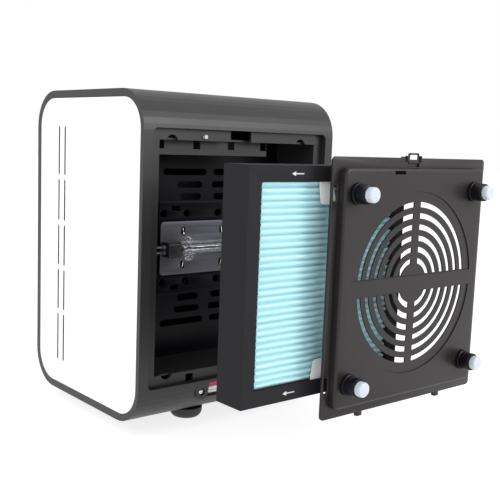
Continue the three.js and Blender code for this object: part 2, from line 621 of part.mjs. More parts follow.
const TAB = { x: -FILTER_X + FILTER_BORDER + 97, width: 18, length: 27, sheet: 0.8 };
const windowLow = FILTER_LOW + FILTER_BORDER;
const windowHigh = FILTER_HIGH - FILTER_BORDER;
for (const [name, z0, z1] of [
  ['pull_tab_upper', windowHigh - TAB.length + 6, windowHigh + 6],
  ['pull_tab_lower', windowLow - 6, windowLow + TAB.length - 6],
]) {
  place(cartridge, name, prism(
    'y', roundRect(TAB.x - TAB.width / 2, TAB.x + TAB.width / 2, z0, z1, 2.5),
    FILTER_REAR + 0.3, FILTER_REAR + 0.3 + TAB.sheet,
  ), tabWhite);
}
cartridge.position.y = FILTER_OUT;

// ---------------------------------------------------------------- rear cover
const flangeSheet = prism(
  'y', roundRect(-COVER_X, COVER_X, COVER_LOW, COVER_HIGH, 4.5), COVER_Y, COVER_Y + FLANGE,
);
const raisedOutline = (inset) => roundRect(
  -COVER_X + FLANGE_EDGE + inset, COVER_X - FLANGE_EDGE - inset,
  COVER_LOW + FLANGE_EDGE + inset, COVER_HIGH - FLANGE_EDGE - inset, 7 - inset,
);
const raisedBlock = prism('y', raisedOutline(0), COVER_Y + 0.5, COVER_FACE, 3);
const raisedHollow = prism('y', raisedOutline(FLANGE), COVER_Y - 1, COVER_FACE - FLANGE, 3);

// One quadrant slot of the grille, between two radii, clear of the cross bars.
const CROSS_BAR = 8.5; // half of the wide horizontal bar
const UPRIGHT_BAR = 5; // half of the narrow upright bar
function quadrantSlot(outer, signX, signZ) {
  const inner = outer - GRILLE_SLOT;
  const shape = new THREE.Shape();
  const start = Math.asin(CROSS_BAR / outer);
  const end = Math.acos(UPRIGHT_BAR / outer);
  shape.absarc(0, 0, outer, start, end);
  shape.absarc(0, 0, inner, Math.acos(UPRIGHT_BAR / inner), Math.asin(CROSS_BAR / inner), true);
  shape.closePath();
  const steps = Math.max(2, Math.round(outer / 24));
  const points = shape.extractPoints(steps).shape.map((p) => (
    new THREE.Vector2(p.x * signX, COVER_Z + p.y * signZ)
  ));
  if (signX * signZ < 0) points.reverse();
  return prism('y', new THREE.Shape(points), COVER_Y - 1, COVER_FACE + 1);
}
const grille = [];
for (let ring = 0; ring < GRILLE_RINGS; ring += 1) {
  for (const [signX, signZ] of [[1, 1], [-1, 1], [-1, -1], [1, -1]]) {
    grille.push(quadrantSlot(GRILLE - ring * GRILLE_PITCH, signX, signZ));
  }
}

// Spacer seats near the corners, hand holes in the left flange, and the pegs under the lower edge.
const SPACER_X = COVER_X - 27;
const SPACER_Z = (COVER_HIGH - COVER_LOW) * 0.365;
const seats = [[1, 1], [-1, 1], [-1, -1], [1, -1]].map(([sx, sz]) => [
  sx * SPACER_X, COVER_Z + sz * SPACER_Z,
]);
const seatHoles = seats.map(([x, z]) => rod('y', x, z, 4, COVER_Y - 1, COVER_FACE + 1, 16));
const flangeSlots = [-1, 1].map((s) => prism('y', roundRect(
  COVER_X - 8, COVER_X - 2.5, COVER_Z + s * SPACER_Z - 8, COVER_Z + s * SPACER_Z + 8, 2.7,
), COVER_Y - 1, COVER_Y + FLANGE + 1));
const PEG_WIDTH = 6.5;
const PEG_REACH = 3.5; // how far a peg enters its hole in the ledge
const pegs = [-1, 1].map((s) => {
  const x = s * (PEG.x0 + PEG.x1) / 2;
  return box(
    x - PEG_WIDTH / 2, x + PEG_WIDTH / 2, COVER_Y - PEG_REACH, COVER_Y + FLANGE,
    COVER_LOW - 5, COVER_LOW + 1,
  );
});
const LATCH_X = (LATCH.x0 + LATCH.x1) / 2;
const latchGap = box(
  LATCH_X - 9, LATCH_X + 9, COVER_Y - 1, COVER_Y + FLANGE + 1, COVER_HIGH - 9.2, COVER_HIGH + 1,
);
const topVent = prism(
  'y', roundRect(22, 38, COVER_HIGH - FLANGE_EDGE - 6, COVER_HIGH - FLANGE_EDGE - 2.6, 1.2),
  COVER_FACE - FLANGE - 1, COVER_FACE + 1,
);
place(cover, 'rear_cover', cut(
  join(flangeSheet, raisedBlock, ...pegs), raisedHollow, ...grille, ...seatHoles, ...flangeSlots,
  latchGap, topVent,
), coverGrey);

// Sprung latch: a hoop in the gap, open above the cover's top edge so that a fingertip finds it.
const HOOP = { half: 8, low: COVER_HIGH - 5.5, high: COVER_HIGH + 5 };
const HOOP_EYE = { half: 6, low: COVER_HIGH - 1.6, high: COVER_HIGH + 3.2 };
const hoop = cut(
  box(LATCH_X - HOOP.half, LATCH_X + HOOP.half, COVER_Y + 0.1, COVER_Y + FLANGE - 0.1, HOOP.low, HOOP.high),
  box(
    LATCH_X - HOOP_EYE.half, LATCH_X + HOOP_EYE.half, COVER_Y - 1, COVER_Y + FLANGE + 1,
    HOOP_EYE.low, HOOP_EYE.high,
  ),
);
place(cover, 'cover_latch', hoop, coverGrey);

// Spacers that keep the purifier off a wall: a collared post, and a soft cap on its end.
const postProfile = [
  [0, 0], [SPACER + 1.2, 0], [SPACER + 1.2, 3], [SPACER, 3.6], [SPACER, SPACER_OUT - 0.8],
  [SPACER - 0.8, SPACER_OUT], [0, SPACER_OUT],
];
const capProfile = [
  [0, 0], [SPACER_CAP, 0], [SPACER_CAP, SPACER_CAP_OUT - 3.4], [SPACER_CAP - 1, SPACER_CAP_OUT - 1.2],
  [SPACER_CAP - 3, SPACER_CAP_OUT], [0, SPACER_CAP_OUT],
];
const post = solid(turned(postProfile, 18));
const cap = solid(turned(capProfile, 18));
seats.forEach(([x, z], i) => {
  place(cover, `spacer_post_${i + 1}`, post, innerBlack, [x, COVER_FACE + FIT, z]);
  place(cover, `spacer_cap_${i + 1}`, cap, softClear, [x, COVER_FACE + 2 * FIT + SPACER_OUT, z]);
});
cover.position.copy(COVER_SHIFT);

// ---------------------------------------------------------------- origin
const bounds = new THREE.Box3().setFromObject(model, true);
model.position.set(
  -(bounds.min.x + bounds.max.x) / 2, -(bounds.min.y + bounds.max.y) / 2, -bounds.min.z,
);

export default model;
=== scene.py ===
# A tabletop air purifier with a germicidal lamp, seen from behind: its filter cartridge is drawn out of
# the rear bay and its rear cover stands off beside it. Metres, +Z up, the open rear faces +Y.
import math
import random

import bmesh
import bpy
from mathutils import Matrix, Vector, noise


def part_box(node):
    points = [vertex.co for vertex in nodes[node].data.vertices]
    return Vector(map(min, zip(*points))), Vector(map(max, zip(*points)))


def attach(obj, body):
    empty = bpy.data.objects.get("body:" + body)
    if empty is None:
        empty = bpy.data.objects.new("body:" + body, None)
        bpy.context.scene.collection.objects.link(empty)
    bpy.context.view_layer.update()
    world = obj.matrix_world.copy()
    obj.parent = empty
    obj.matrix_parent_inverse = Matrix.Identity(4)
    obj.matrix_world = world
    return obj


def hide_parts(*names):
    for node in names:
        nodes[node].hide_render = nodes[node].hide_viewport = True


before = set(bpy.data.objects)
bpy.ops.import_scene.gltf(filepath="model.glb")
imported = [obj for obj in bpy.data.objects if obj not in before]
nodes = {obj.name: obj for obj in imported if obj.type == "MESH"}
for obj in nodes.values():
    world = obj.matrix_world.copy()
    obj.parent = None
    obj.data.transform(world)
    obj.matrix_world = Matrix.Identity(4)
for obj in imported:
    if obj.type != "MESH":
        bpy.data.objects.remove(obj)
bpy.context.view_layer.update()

# ------------------------------------------------------------------ where the housing stands
# The housing is two moulded shells, front and rear, that meet a little behind its middle. Every fixed
# piece below is drawn in millimetres from the middle of the housing's underside.
MM = 0.001
front_low, front_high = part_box("front_shell")
_, rear_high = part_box("rear_shell")
HOUSING = Vector(((front_low.x + front_high.x) / 2, (front_low.y + rear_high.y) / 2, front_low.z))


def housing_box(name):
    """A CAD node's two corners, in millimetres from the middle of the housing's underside."""
    low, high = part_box(name)
    return (low - HOUSING) / MM, (high - HOUSING) / MM


# ------------------------------------------------------------------ camera and studio
# The view is on to the open rear from its right, over a white sweep of paper. A white room all round gives
# even light, and three soft boxes draw the highlights on the dark plastic.
VIEW_TURN = math.radians(140.0)
VIEW_DROP = math.radians(7.5)
VIEW_ROLL = math.radians(2.2)
VIEW_POINT = Vector((569.9, 804.5, 294.5))  # millimetres from the middle of the housing's underside
backward = Vector((
    math.sin(VIEW_TURN) * math.cos(VIEW_DROP),
    -math.cos(VIEW_TURN) * math.cos(VIEW_DROP),
    math.sin(VIEW_DROP),
))
level = Vector((math.cos(VIEW_TURN), math.sin(VIEW_TURN), 0))
upright = backward.cross(level)
rightward = level * math.cos(VIEW_ROLL) + upright * math.sin(VIEW_ROLL)
upward = upright * math.cos(VIEW_ROLL) - level * math.sin(VIEW_ROLL)
camera_data = bpy.data.cameras.new("camera")
camera_data.sensor_width = 36
camera_data.lens = 60.6
camera = bpy.data.objects.new("camera", camera_data)
camera.matrix_world = Matrix.Translation(HOUSING + VIEW_POINT * MM) @ Matrix(
    (rightward, upward, backward)
).transposed().to_4x4()
bpy.context.scene.collection.objects.link(camera)
bpy.context.scene.camera = camera
bpy.context.scene.view_settings.view_transform = "Standard"

room = bpy.data.worlds.new("room")
room.use_nodes = True
room.node_tree.nodes["Background"].inputs["Color"].default_value = (1, 1, 1, 1)
room.node_tree.nodes["Background"].inputs["Strength"].default_value = 1.0
bpy.context.scene.world = room


def soft_box(name, place, target, size, power):
    """A square studio light at a place, turned towards a target, both in metres."""
    data = bpy.data.lights.new(name, "AREA")
    data.size = size
    data.energy = power
    light = bpy.data.objects.new(name, data)
    aim = (Vector(target) - Vector(place)).to_track_quat("-Z", "Y")
    light.matrix_world = Matrix.Translation(place) @ aim.to_matrix().to_4x4()
    bpy.context.scene.collection.objects.link(light)


soft_box("side_light", (1.6, 0.5, 0.9), (0.1, -0.05, 0.17), 0.9, 5)
soft_box("top_light", (0.0, -0.3, 1.9), (0.0, 0.0, 0.2), 1.1, 4)
soft_box("rear_light", (-0.9, 1.6, 1.0), (0.0, 0.1, 0.17), 0.9, 21)

PAPER = 9.0  # half of its width, in metres
paper = bpy.data.meshes.new("paper_sweep")
paper.from_pydata(
    [(-PAPER, -PAPER, 0), (PAPER, -PAPER, 0), (PAPER, PAPER, 0), (-PAPER, PAPER, 0)], [], [(0, 1, 2, 3)],
)
paper_sweep = bpy.data.objects.new("paper_sweep", paper)
bpy.context.scene.collection.objects.link(paper_sweep)


# ------------------------------------------------------------------ how finishes are mixed
# Each finish is one node material. Wire lets a socket be used in plain sums, and Finish.node adds any
# other node from its kind and what goes into it.
class Wire:
    def __init__(self, finish, socket):
        self.finish = finish
        self.socket = socket

    def sum(self, operation, *values):
        made = self.finish.tree.nodes.new("ShaderNodeMath")
        made.operation = operation
        for entry, value in zip(made.inputs, values):
            self.finish.feed(entry, value)
        return Wire(self.finish, made.outputs[0])

    def __add__(self, other):
        return self.sum("ADD", self, other)

    def __sub__(self, other):
        return self.sum("SUBTRACT", self, other)

    def __mul__(self, other):
        return self.sum("MULTIPLY", self, other)

    def __gt__(self, other):
        return self.sum("GREATER_THAN", self, other)

    def __lt__(self, other):
        return self.sum("LESS_THAN", self, other)

    def clamped(self):
        return self.sum("MINIMUM", self.sum("MAXIMUM", self, 0.0), 1.0)


class Finish:
    def __init__(self, name, **values):
        self.material = bpy.data.materials.new(name)
        self.material.use_nodes = True
        self.tree = self.material.node_tree
        self.shader = self.tree.nodes["Principled BSDF"]
        for socket, value in values.items():
            self.shader.inputs[socket.replace("_", " ")].default_value = value

    def feed(self, entry, value):
        if isinstance(value, Wire):
            self.tree.links.new(value.socket, entry)
        else:
            entry.default_value = value

    def node(self, kind, inputs=(), output=0):
        made = self.tree.nodes.new(kind)
        for name, value in dict(inputs).items():
            self.feed(made.inputs[name], value)
        return Wire(self, made.outputs[output])

    def drive(self, socket, value):
        self.feed(self.shader.inputs[socket], value)
        return self

    def place(self):
        """The point on the piece, in metres in the model's own frame, as three numbers."""
        spot = self.node("ShaderNodeTexCoord", output="Object")
        apart = self.tree.nodes.new("ShaderNodeSeparateXYZ")
        self.feed(apart.inputs[0], spot)
        return [Wire(self, out) for out in apart.outputs]

    def grain(self, scale, detail=3.0, stretch=(1, 1, 1)):
        """Soft noise from 0 to 1, with a scale in cycles per metre and a stretch along each axis."""
        spot = self.node("ShaderNodeTexCoord", output="Object")
        bent = self.node("ShaderNodeMapping", inputs={"Vector": spot, "Scale": stretch})
        return self.node("ShaderNodeTexNoise", inputs={
            "Vector": bent, "Scale": scale, "Detail": detail, "Roughness": 0.55,
        })

    def between(self, mask, dark, light):
        """One colour where the mask is 0 and the other where it is 1."""
        made = self.tree.nodes.new("ShaderNodeMix")
        made.data_type = "RGBA"
        self.feed(made.inputs[0], mask)
        self.feed(made.inputs[6], dark if isinstance(dark, Wire) else (*dark, 1))
        self.feed(made.inputs[7], light if isinstance(light, Wire) else (*light, 1))
        return Wire(self, made.outputs[2])

    def emboss(self, height, depth):
        """Raises the surface by the height map, whose full range is a depth in metres."""
        return self.drive("Normal", self.node("ShaderNodeBump", inputs={
            "Height": height, "Distance": depth, "Strength": 1.0,
        }))


white_paper = Finish("white_paper", Roughness=0.9, Specular_IOR_Level=0.1, Emission_Strength=0.8)
white_paper.shader.inputs["Emission Color"].default_value = (1, 1, 1, 1)
white_paper.drive("Base Color", white_paper.between(
    white_paper.grain(3.0), (0.34, 0.34, 0.34), (0.36, 0.36, 0.36),
))
paper.materials.append(white_paper.material)


# ------------------------------------------------------------------ charcoal shells
# Two injection-moulded ABS halves wrap round the top, rear, bottom and front. The mould is spark-eroded,
# which leaves a fine even grain, and the parting edges are broken by a small radius.
def moulded(name, dark, light, roughness, grain_scale=1500, grain_depth=0.00004, **values):
    """A moulded plastic: a little colour drift, a spark-eroded grain and a few rubbed, glossier patches."""
    finish = Finish(name, **values)
    drift = finish.grain(9, 4)
    rubbed = finish.grain(26, 5)
    speckle = finish.grain(grain_scale, 2)
    finish.drive("Base Color", finish.between((drift * 0.6 + speckle * 0.4).clamped(), dark, light))
    finish.drive("Roughness", rubbed * 0.14 + speckle * 0.06 + (roughness - 0.1))
    return finish.emboss(speckle, grain_depth)


def keep(name, finish, edge=0.0):
    """Gives a CAD node its finish, smooth curves, and edges broken by a small radius in millimetres."""
    sharp = math.radians(35)
    piece = nodes[name]
    piece.data.materials.clear()
    piece.data.materials.append(finish.material)
    piece.data.shade_smooth()
    piece.data.set_sharp_from_angle(angle=sharp)
    if edge:
        broken = piece.modifiers.new("broken_edges", "BEVEL")
        broken.limit_method = "ANGLE"
        broken.angle_limit = sharp
        broken.width = edge * MM
        broken.segments = 2
        broken.harden_normals = True


charcoal = moulded(
    "charcoal_abs", (0.017, 0.016, 0.017), (0.026, 0.024, 0.026), 0.42, Specular_IOR_Level=0.42,
)
keep("front_shell", charcoal, 0.5)
keep("rear_shell", charcoal, 0.4)


# ------------------------------------------------------------------ white side panels
# Each side is closed by a smooth white panel, moulded flat and clipped into the dark rim, with two
# columns of upright air slots near the front: long ones at the ends and shorter ones between.
def arc(centre_u, centre_v, radius, start, end, steps):
    """Points on a circle from one angle to another, in degrees."""
    turns = [math.radians(start + (end - start) * i / steps) for i in range(steps + 1)]
    return [(centre_u + radius * math.cos(t), centre_v + radius * math.sin(t)) for t in turns]


def rounded(u0, u1, v0, v1, radius, steps=10):
    """A rectangle with round corners, anticlockwise."""
    return (
        arc(u1 - radius, v0 + radius, radius, -90, 0, steps)
        + arc(u1 - radius, v1 - radius, radius, 0, 90, steps)
        + arc(u0 + radius, v1 - radius, radius, 90, 180, steps)
        + arc(u0 + radius, v0 + radius, radius, 180, 270, steps)
    )


def add_piece(name, mesh, finish, origin=HOUSING, angle=35):
    """Turns a mesh drawn in millimetres from an origin into a smooth-shaded piece in metres."""
    mesh.transform(Matrix.Translation(origin) @ Matrix.Scale(MM, 4))
    loose = bmesh.new()
    loose.from_mesh(mesh)
    bmesh.ops.remove_doubles(loose, verts=loose.verts, dist=1e-7)
    bmesh.ops.recalc_face_normals(loose, faces=loose.faces)
    loose.to_mesh(mesh)
    loose.free()
    mesh.materials.clear()
    mesh.materials.append(finish.material)
    mesh.shade_smooth()
    mesh.set_sharp_from_angle(angle=math.radians(angle))
    piece = bpy.data.objects.new(name, mesh)
    bpy.context.scene.collection.objects.link(piece)
    return piece


FACING = {
    "rear": Matrix(((1, 0, 0, 0), (0, 0, -1, 0), (0, 1, 0, 0), (0, 0, 0, 1))),  # drawn in X and Z
    "side": Matrix(((0, 0, 1, 0), (1, 0, 0, 0), (0, 1, 0, 0), (0, 0, 0, 1))),  # drawn in Y and Z
}


def plate_mesh(outline, holes, facing, low, high, edge):
    """A flat plate with holes and a small round on every edge, between two depths on its facing axis."""
    drawn = bpy.data.curves.new("drawn_plate", "CURVE")
    drawn.dimensions = "2D"
    drawn.fill_mode = "BOTH"
    drawn.extrude = (high - low) / 2 - edge
    drawn.bevel_depth = edge
    drawn.bevel_resolution = 2
    drawn.offset = -edge
    for points, inner in [(outline, False)] + [(hole, True) for hole in holes]:
        spline = drawn.splines.new("POLY")
        ordered = list(reversed(points)) if inner else points
        spline.points.add(len(ordered) - 1)
        for point, (u, v) in zip(spline.points, ordered):
            point.co = (u, v, 0, 1)
        spline.use_cyclic_u = True
    holder = bpy.data.objects.new("drawn_plate", drawn)
    bpy.context.scene.collection.objects.link(holder)
    seen = holder.evaluated_get(bpy.context.evaluated_depsgraph_get())
    mesh = bpy.data.meshes.new_from_object(seen)
    bpy.data.objects.remove(holder)
    middle = (low + high) / 2
    shift = Vector((0, middle, 0)) if facing == "rear" else Vector((middle, 0, 0))
    mesh.transform(Matrix.Translation(shift) @ FACING[facing])
    return mesh


panel_white = Finish("white_panel_abs", Coat_Weight=0.25, Coat_Roughness=0.12)
panel_haze = panel_white.grain(14, 3)
panel_white.drive("Base Color", panel_white.between(panel_haze, (0.88, 0.88, 0.875), (0.93, 0.93, 0.93)))
panel_white.drive("Roughness", panel_haze * 0.12 + 0.24)
panel_white.emboss(panel_white.grain(1100, 2), 0.00002)

PANEL_CORNER = 31.65
VENT_WIDTH = 3.4
VENT_LANES = (-60.5, -47.0)
VENT_LENGTHS = (54, 46, 46, 46, 54)
VENT_LOW = 35.0
VENT_GAP = 5.0
SKIN = 0.8
for side_name in ("side_panel_right", "side_panel_left"):
    low, high = housing_box(side_name)
    slots = []
    for lane in VENT_LANES:
        foot = VENT_LOW
        for length in VENT_LENGTHS:
            slots.append(rounded(
                lane - VENT_WIDTH / 2, lane + VENT_WIDTH / 2, foot, foot + length, VENT_WIDTH / 2 - 0.02, 5,
            ))
            foot += length + VENT_GAP
    outline = rounded(low.y, high.y, low.z, high.z, PANEL_CORNER, 18)
    inner_x, outer_x = (high.x - SKIN, high.x) if high.x > 0 else (low.x, low.x + SKIN)
    panel = add_piece(
        side_name + "_skin", plate_mesh(outline, slots, "side", inner_x, outer_x, 0.25), panel_white,
    )
    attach(panel, "housing")
    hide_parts(side_name)


# ------------------------------------------------------------------ lamp bay
# The bay is closed at the back by one black moulding with rows of rounded air slots. Two shallow raised
# bands above and below the lamp carry round wiring holes, and the moulding is left glossy from the mould.
glossy_black = moulded(
    "glossy_black_abs", (0.0022, 0.0022, 0.0040), (0.005, 0.005, 0.008), 0.34,
    grain_scale=700, grain_depth=0.00003, Specular_IOR_Level=0.16,
)
dull_black = moulded(
    "dull_black_abs", (0.008, 0.008, 0.009), (0.015, 0.015, 0.017), 0.5,
    grain_scale=1100, Specular_IOR_Level=0.3,
)
keep("chassis_plate", glossy_black, 0.35)
for name in ("fan_inlet_ring", "lamp_ballast"):
    keep(name, dull_black, 0.4)

lamp_low, lamp_high = housing_box("uv_lamp_tube")
LAMP_Z = (lamp_low.z + lamp_high.z) / 2
LAMP_Y = (lamp_low.y + lamp_high.y) / 2
_, chassis_high = housing_box("chassis_plate")
BAND_LEFT = -98.0
BAND_RIGHT = 62.0
BAND_NEAR = 31.5  # its near and far edges, from the lamp
BAND_FAR = 51.5
BAND_BACK = 0.1  # its two faces, from the face of the chassis plate
BAND_FACE = 1.3
BAND_HOLES = (56.3, 25.4, -17.8, -48.7, -72.0)
BAND_HOLE = 4.7
BAND_HOLE_OUT = 38.0
BAND_WINDOW = (34.7, 46.0)
BAND_WINDOW_HALF = 3.0
BAND_WINDOW_OUT = 44.0
for name, sign in (("upper_wiring_band", 1), ("lower_wiring_band", -1)):
    near, far = sorted((LAMP_Z + sign * BAND_NEAR, LAMP_Z + sign * BAND_FAR))
    hole_z = LAMP_Z + sign * BAND_HOLE_OUT
    window_z = LAMP_Z + sign * BAND_WINDOW_OUT
    holes = [arc(x, hole_z, BAND_HOLE, 0, 345, 23) for x in BAND_HOLES]
    holes.append(rounded(*BAND_WINDOW, window_z - BAND_WINDOW_HALF, window_z + BAND_WINDOW_HALF, 0.8, 3))
    band = add_piece(name, plate_mesh(
        rounded(BAND_LEFT, BAND_RIGHT, near, far, 2), holes, "rear",
        chassis_high.y + BAND_BACK, chassis_high.y + BAND_FACE, 0.4,
    ), glossy_black)
    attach(band, "housing")

# ------------------------------------------------------------------ reflector
# A rectangle of thin stainless sheet with rounded corners and four hook slots, screwed flat to the
# moulding behind the lamp. It is brushed along its length and its sheared edges catch the light.
brushed_sheet = Finish("brushed_stainless", Metallic=1.0)
brush_lines = brushed_sheet.grain(60, 4, (3, 1, 60))
smears = brushed_sheet.grain(22, 3)
brushed_sheet.drive("Base Color", brushed_sheet.between(
    brush_lines, (0.155, 0.158, 0.182), (0.21, 0.213, 0.24),
))
brushed_sheet.drive("Roughness", brush_lines * 0.08 + smears * 0.12 + 0.40)
brushed_sheet.emboss(brush_lines, 0.00002)

sheet_low, sheet_high = housing_box("lamp_reflector")
SHEET_RAISED = 1.05  # stands off the moulding on the two bands
SPRING_X = (30.6, -22.8)
HOOK_REACH = 18.8  # middle of a hook slot to the middle of the lamp
HOOK_WIDE = 2.7  # half of a slot's width and half of its height
HOOK_TALL = 4.0
hook_slots = []
for x in SPRING_X:
    for slot_z in (LAMP_Z - HOOK_REACH, LAMP_Z + HOOK_REACH):
        hook_slots.append(rounded(
            x - HOOK_WIDE, x + HOOK_WIDE, slot_z - HOOK_TALL, slot_z + HOOK_TALL, 0.6, 3,
        ))
reflector = add_piece("reflector_sheet", plate_mesh(
    rounded(sheet_low.x, sheet_high.x, sheet_low.z, sheet_high.z, 4, 8), hook_slots, "rear",
    sheet_low.y + SHEET_RAISED, sheet_high.y + SHEET_RAISED, 0.28,
), brushed_sheet)
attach(reflector, "housing")
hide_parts("lamp_reflector")


# ------------------------------------------------------------------ germicidal lamp
# A straight quartz tube with a pressed black cap over each end. Inside each end a small coiled filament
# stands on two nickel wires, and the two leads leave the right cap side by side.
def loft(loops, closed=False):
    """A skin through loops of points with like counts, capped at both ends or joined end to end."""
    count = len(loops[0])
    points = [tuple(point) for loop in loops for point in loop]
    faces = []
    for i in range(len(loops) if closed else len(loops) - 1):
        here = i * count
        there = ((i + 1) % len(loops)) * count
        for j in range(count):
            k = (j + 1) % count
            faces.append((here + j, here + k, there + k, there + j))
    if not closed:
        faces.append(tuple(reversed(range(count))))
        faces.append(tuple(range(len(points) - count, len(points))))
    mesh = bpy.data.meshes.new("loft")
    mesh.from_pydata(points, [], faces)
    return mesh


PINHOLE = 0.02


def turned_mesh(profile, axis, centre, steps=40, closed=False):
    """A turned piece from (radius, height) pairs about an axis, or a ring where the profile is closed.
    A radius of 0 becomes a pinhole, so that each loop keeps its points apart."""
    along = {"x": Vector((1, 0, 0)), "y": Vector((0, 1, 0)), "z": Vector((0, 0, 1))}[axis]
    across = Vector((0, 0, 1)) if axis != "z" else Vector((1, 0, 0))
    third = along.cross(across)
    loops = []
    for radius, height in profile:
        loops.append([
            Vector(centre) + along * height
            + (across * math.cos(t) + third * math.sin(t)) * max(radius, PINHOLE)
            for t in (2 * math.pi * i / steps for i in range(steps))
        ])
    return loft(loops, closed)


def wire_mesh(path, radius, steps=10):
    """A round wire through a list of points, with its section kept from twisting."""
    path = [Vector(p) for p in path]
    loops = []
    across = Vector((0.31, 0.87, 0.39))
    for i, point in enumerate(path):
        along = (path[min(i + 1, len(path) - 1)] - path[max(i - 1, 0)]).normalized()
        across = (across - along * across.dot(along)).normalized()
        third = along.cross(across)
        loops.append([
            point + (across * math.cos(t) + third * math.sin(t)) * radius
            for t in (2 * math.pi * j / steps for j in range(steps))
        ])
    return loft(loops)


def smooth_path(points, steps=8):
    """A Catmull-Rom curve through the points."""
    points = [Vector(p) for p in points]
    ends = [points[0] * 2 - points[1], *points, points[-1] * 2 - points[-2]]
    path = []
    for i in range(1, len(ends) - 2):
        before, here, there, after = ends[i - 1:i + 3]
        for step in range(steps):
            t = step / steps
            path.append(0.5 * (
                here * 2 + (there - before) * t + (before * 2 - here * 5 + there * 4 - after) * t ** 2
                + (here * 3 - before - there * 3 + after) * t ** 3
            ))
    return path + [points[-1]]


def merged(meshes):
    """Several meshes as one, each kept as a shell of its own."""
    whole = bmesh.new()
    for mesh in meshes:
        whole.from_mesh(mesh)
        bpy.data.meshes.remove(mesh)
    mesh = bpy.data.meshes.new("merged")
    whole.to_mesh(mesh)
    whole.free()
    return mesh


quartz = Finish("quartz_glass", Base_Color=(0.97, 0.98, 1.0, 1), IOR=1.46, Transmission_Weight=1.0)
quartz.drive("Roughness", quartz.grain(25, 2) * 0.02 + 0.01)
bright_wire = Finish("bright_spring_wire", Metallic=1.0)
wire_sheen = bright_wire.grain(500, 3)
bright_wire.drive("Base Color", bright_wire.between(wire_sheen, (0.74, 0.73, 0.72), (0.94, 0.93, 0.92)))
bright_wire.drive("Roughness", wire_sheen * 0.15 + 0.14)

TUBE = (lamp_high.z - lamp_low.z) / 2
TUBE_WALL = 0.9
tube_middle = (lamp_low.x + lamp_high.x) / 2
tube_half = (lamp_high.x - lamp_low.x) / 2
glass_tube = add_piece("quartz_tube", turned_mesh([
    (TUBE - TUBE_WALL, -tube_half), (TUBE, -tube_half), (TUBE, tube_half), (TUBE - TUBE_WALL, tube_half),
], "x", (tube_middle, LAMP_Y, LAMP_Z), 48, True), quartz)
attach(glass_tube, "housing")
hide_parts("uv_lamp_tube")

STEM = 13.0  # length of a nickel wire
STEM_OUT = 3.0  # wire to the axis of the lamp
FILAMENT = 0.5  # radius of its coils
FILAMENT_STEPS = 50
for name, x, inward in (
    ("right_filament", lamp_high.x - 1, -1), ("left_filament", lamp_low.x + 1, 1),
):
    coil_x = x + inward * STEM
    coil = []
    for step in range(FILAMENT_STEPS):
        swing = step * 1.1
        coil.append((
            coil_x + FILAMENT * math.cos(swing),
            LAMP_Y - STEM_OUT + STEM_OUT * 2 * step / FILAMENT_STEPS,
            LAMP_Z + FILAMENT * math.sin(swing),
        ))
    stems = []
    for stem_y in (LAMP_Y - STEM_OUT, LAMP_Y + STEM_OUT):
        stems.append(wire_mesh([(x, stem_y, LAMP_Z), (coil_x, stem_y, LAMP_Z)], 0.35, 8))
    pinch = turned_mesh([(2.6, -1), (4.6, 0), (4.2, 3), (1.8, 6), (0.4, 7)], "x", (x, LAMP_Y, LAMP_Z), 20)
    if inward < 0:
        mirror = Matrix.Diagonal((-1, 1, 1, 1))
        pinch.transform(Matrix.Translation((x, 0, 0)) @ mirror @ Matrix.Translation((-x, 0, 0)))
    filament = add_piece(name, merged([wire_mesh(coil, 0.16, 6), pinch, *stems]), bright_wire)
    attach(filament, "housing")

cap_black = moulded("lamp_cap_bakelite", (0.016, 0.016, 0.018), (0.028, 0.028, 0.03), 0.4, 900, 0.00004)


def soft_block_mesh(low, high, round_off, corner):
    """A block with its corners rounded in Y and Z and with both of its ends along X rounded off."""
    loops = []
    for t in (0, 30, 60, 90):
        inset = round_off * (1 - math.sin(math.radians(t)))
        depth = low.x + round_off * (1 - math.cos(math.radians(t)))
        loops.append([(depth, y, z) for y, z in rounded(
            low.y + inset, high.y - inset, low.z + inset, high.z - inset, max(corner - inset, 0.2), 5,
        )])
    loops += [[(low.x + high.x - x, y, z) for x, y, z in loop] for loop in reversed(loops)]
    return loft(loops)


for name in ("lamp_cap_right", "lamp_cap_left"):
    low, high = housing_box(name)
    body = soft_block_mesh(low, high, 0.8, 3)
    collar_x = high.x if name == "lamp_cap_left" else low.x
    collar = turned_mesh(
        [(TUBE + 0.2, -1.6), (TUBE + 0.9, -1.2), (TUBE + 0.9, 1.2), (TUBE + 0.2, 1.6)],
        "x", (collar_x, LAMP_Y, LAMP_Z), 36,
    )
    cap = add_piece(name + "_moulding", merged([body, collar]), cap_black)
    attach(cap, "housing")
    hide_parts(name)

lead_sleeve = Finish("lead_sleeve")
sleeve_haze = lead_sleeve.grain(120, 3)
lead_sleeve.drive("Base Color", lead_sleeve.between(sleeve_haze, (0.10, 0.09, 0.10), (0.17, 0.16, 0.17)))
lead_sleeve.drive("Roughness", sleeve_haze * 0.2 + 0.35)
LEAD = 1.25  # radius of its sleeve
LEAD_BEND = 12.0  # straight run out of the cap, and start of the bend back into the moulding
_, cap_high = housing_box("lamp_cap_right")
for name in ("lamp_lead_1", "lamp_lead_2"):
    low, high = housing_box(name)
    z = (low.z + high.z) / 2
    turn = high.x - LEAD - 0.05
    route = [
        (low.x + 0.2, LAMP_Y, z), (low.x + LEAD_BEND, LAMP_Y, z), (turn - LEAD_BEND, LAMP_Y - 0.5, z),
        (turn - 3, LAMP_Y - 4, z), (turn, chassis_high.y + 2, z), (turn, chassis_high.y - 9, z),
    ]
    grommet = turned_mesh([(1.4, 0), (2.5, 0), (2.2, 3.4), (1.4, 4)], "x", (cap_high.x + 0.1, LAMP_Y, z), 20)
    lead = add_piece(name + "_wire", merged([wire_mesh(smooth_path(route), LEAD, 14), grommet]), lead_sleeve)
    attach(lead, "housing")
    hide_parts(name)

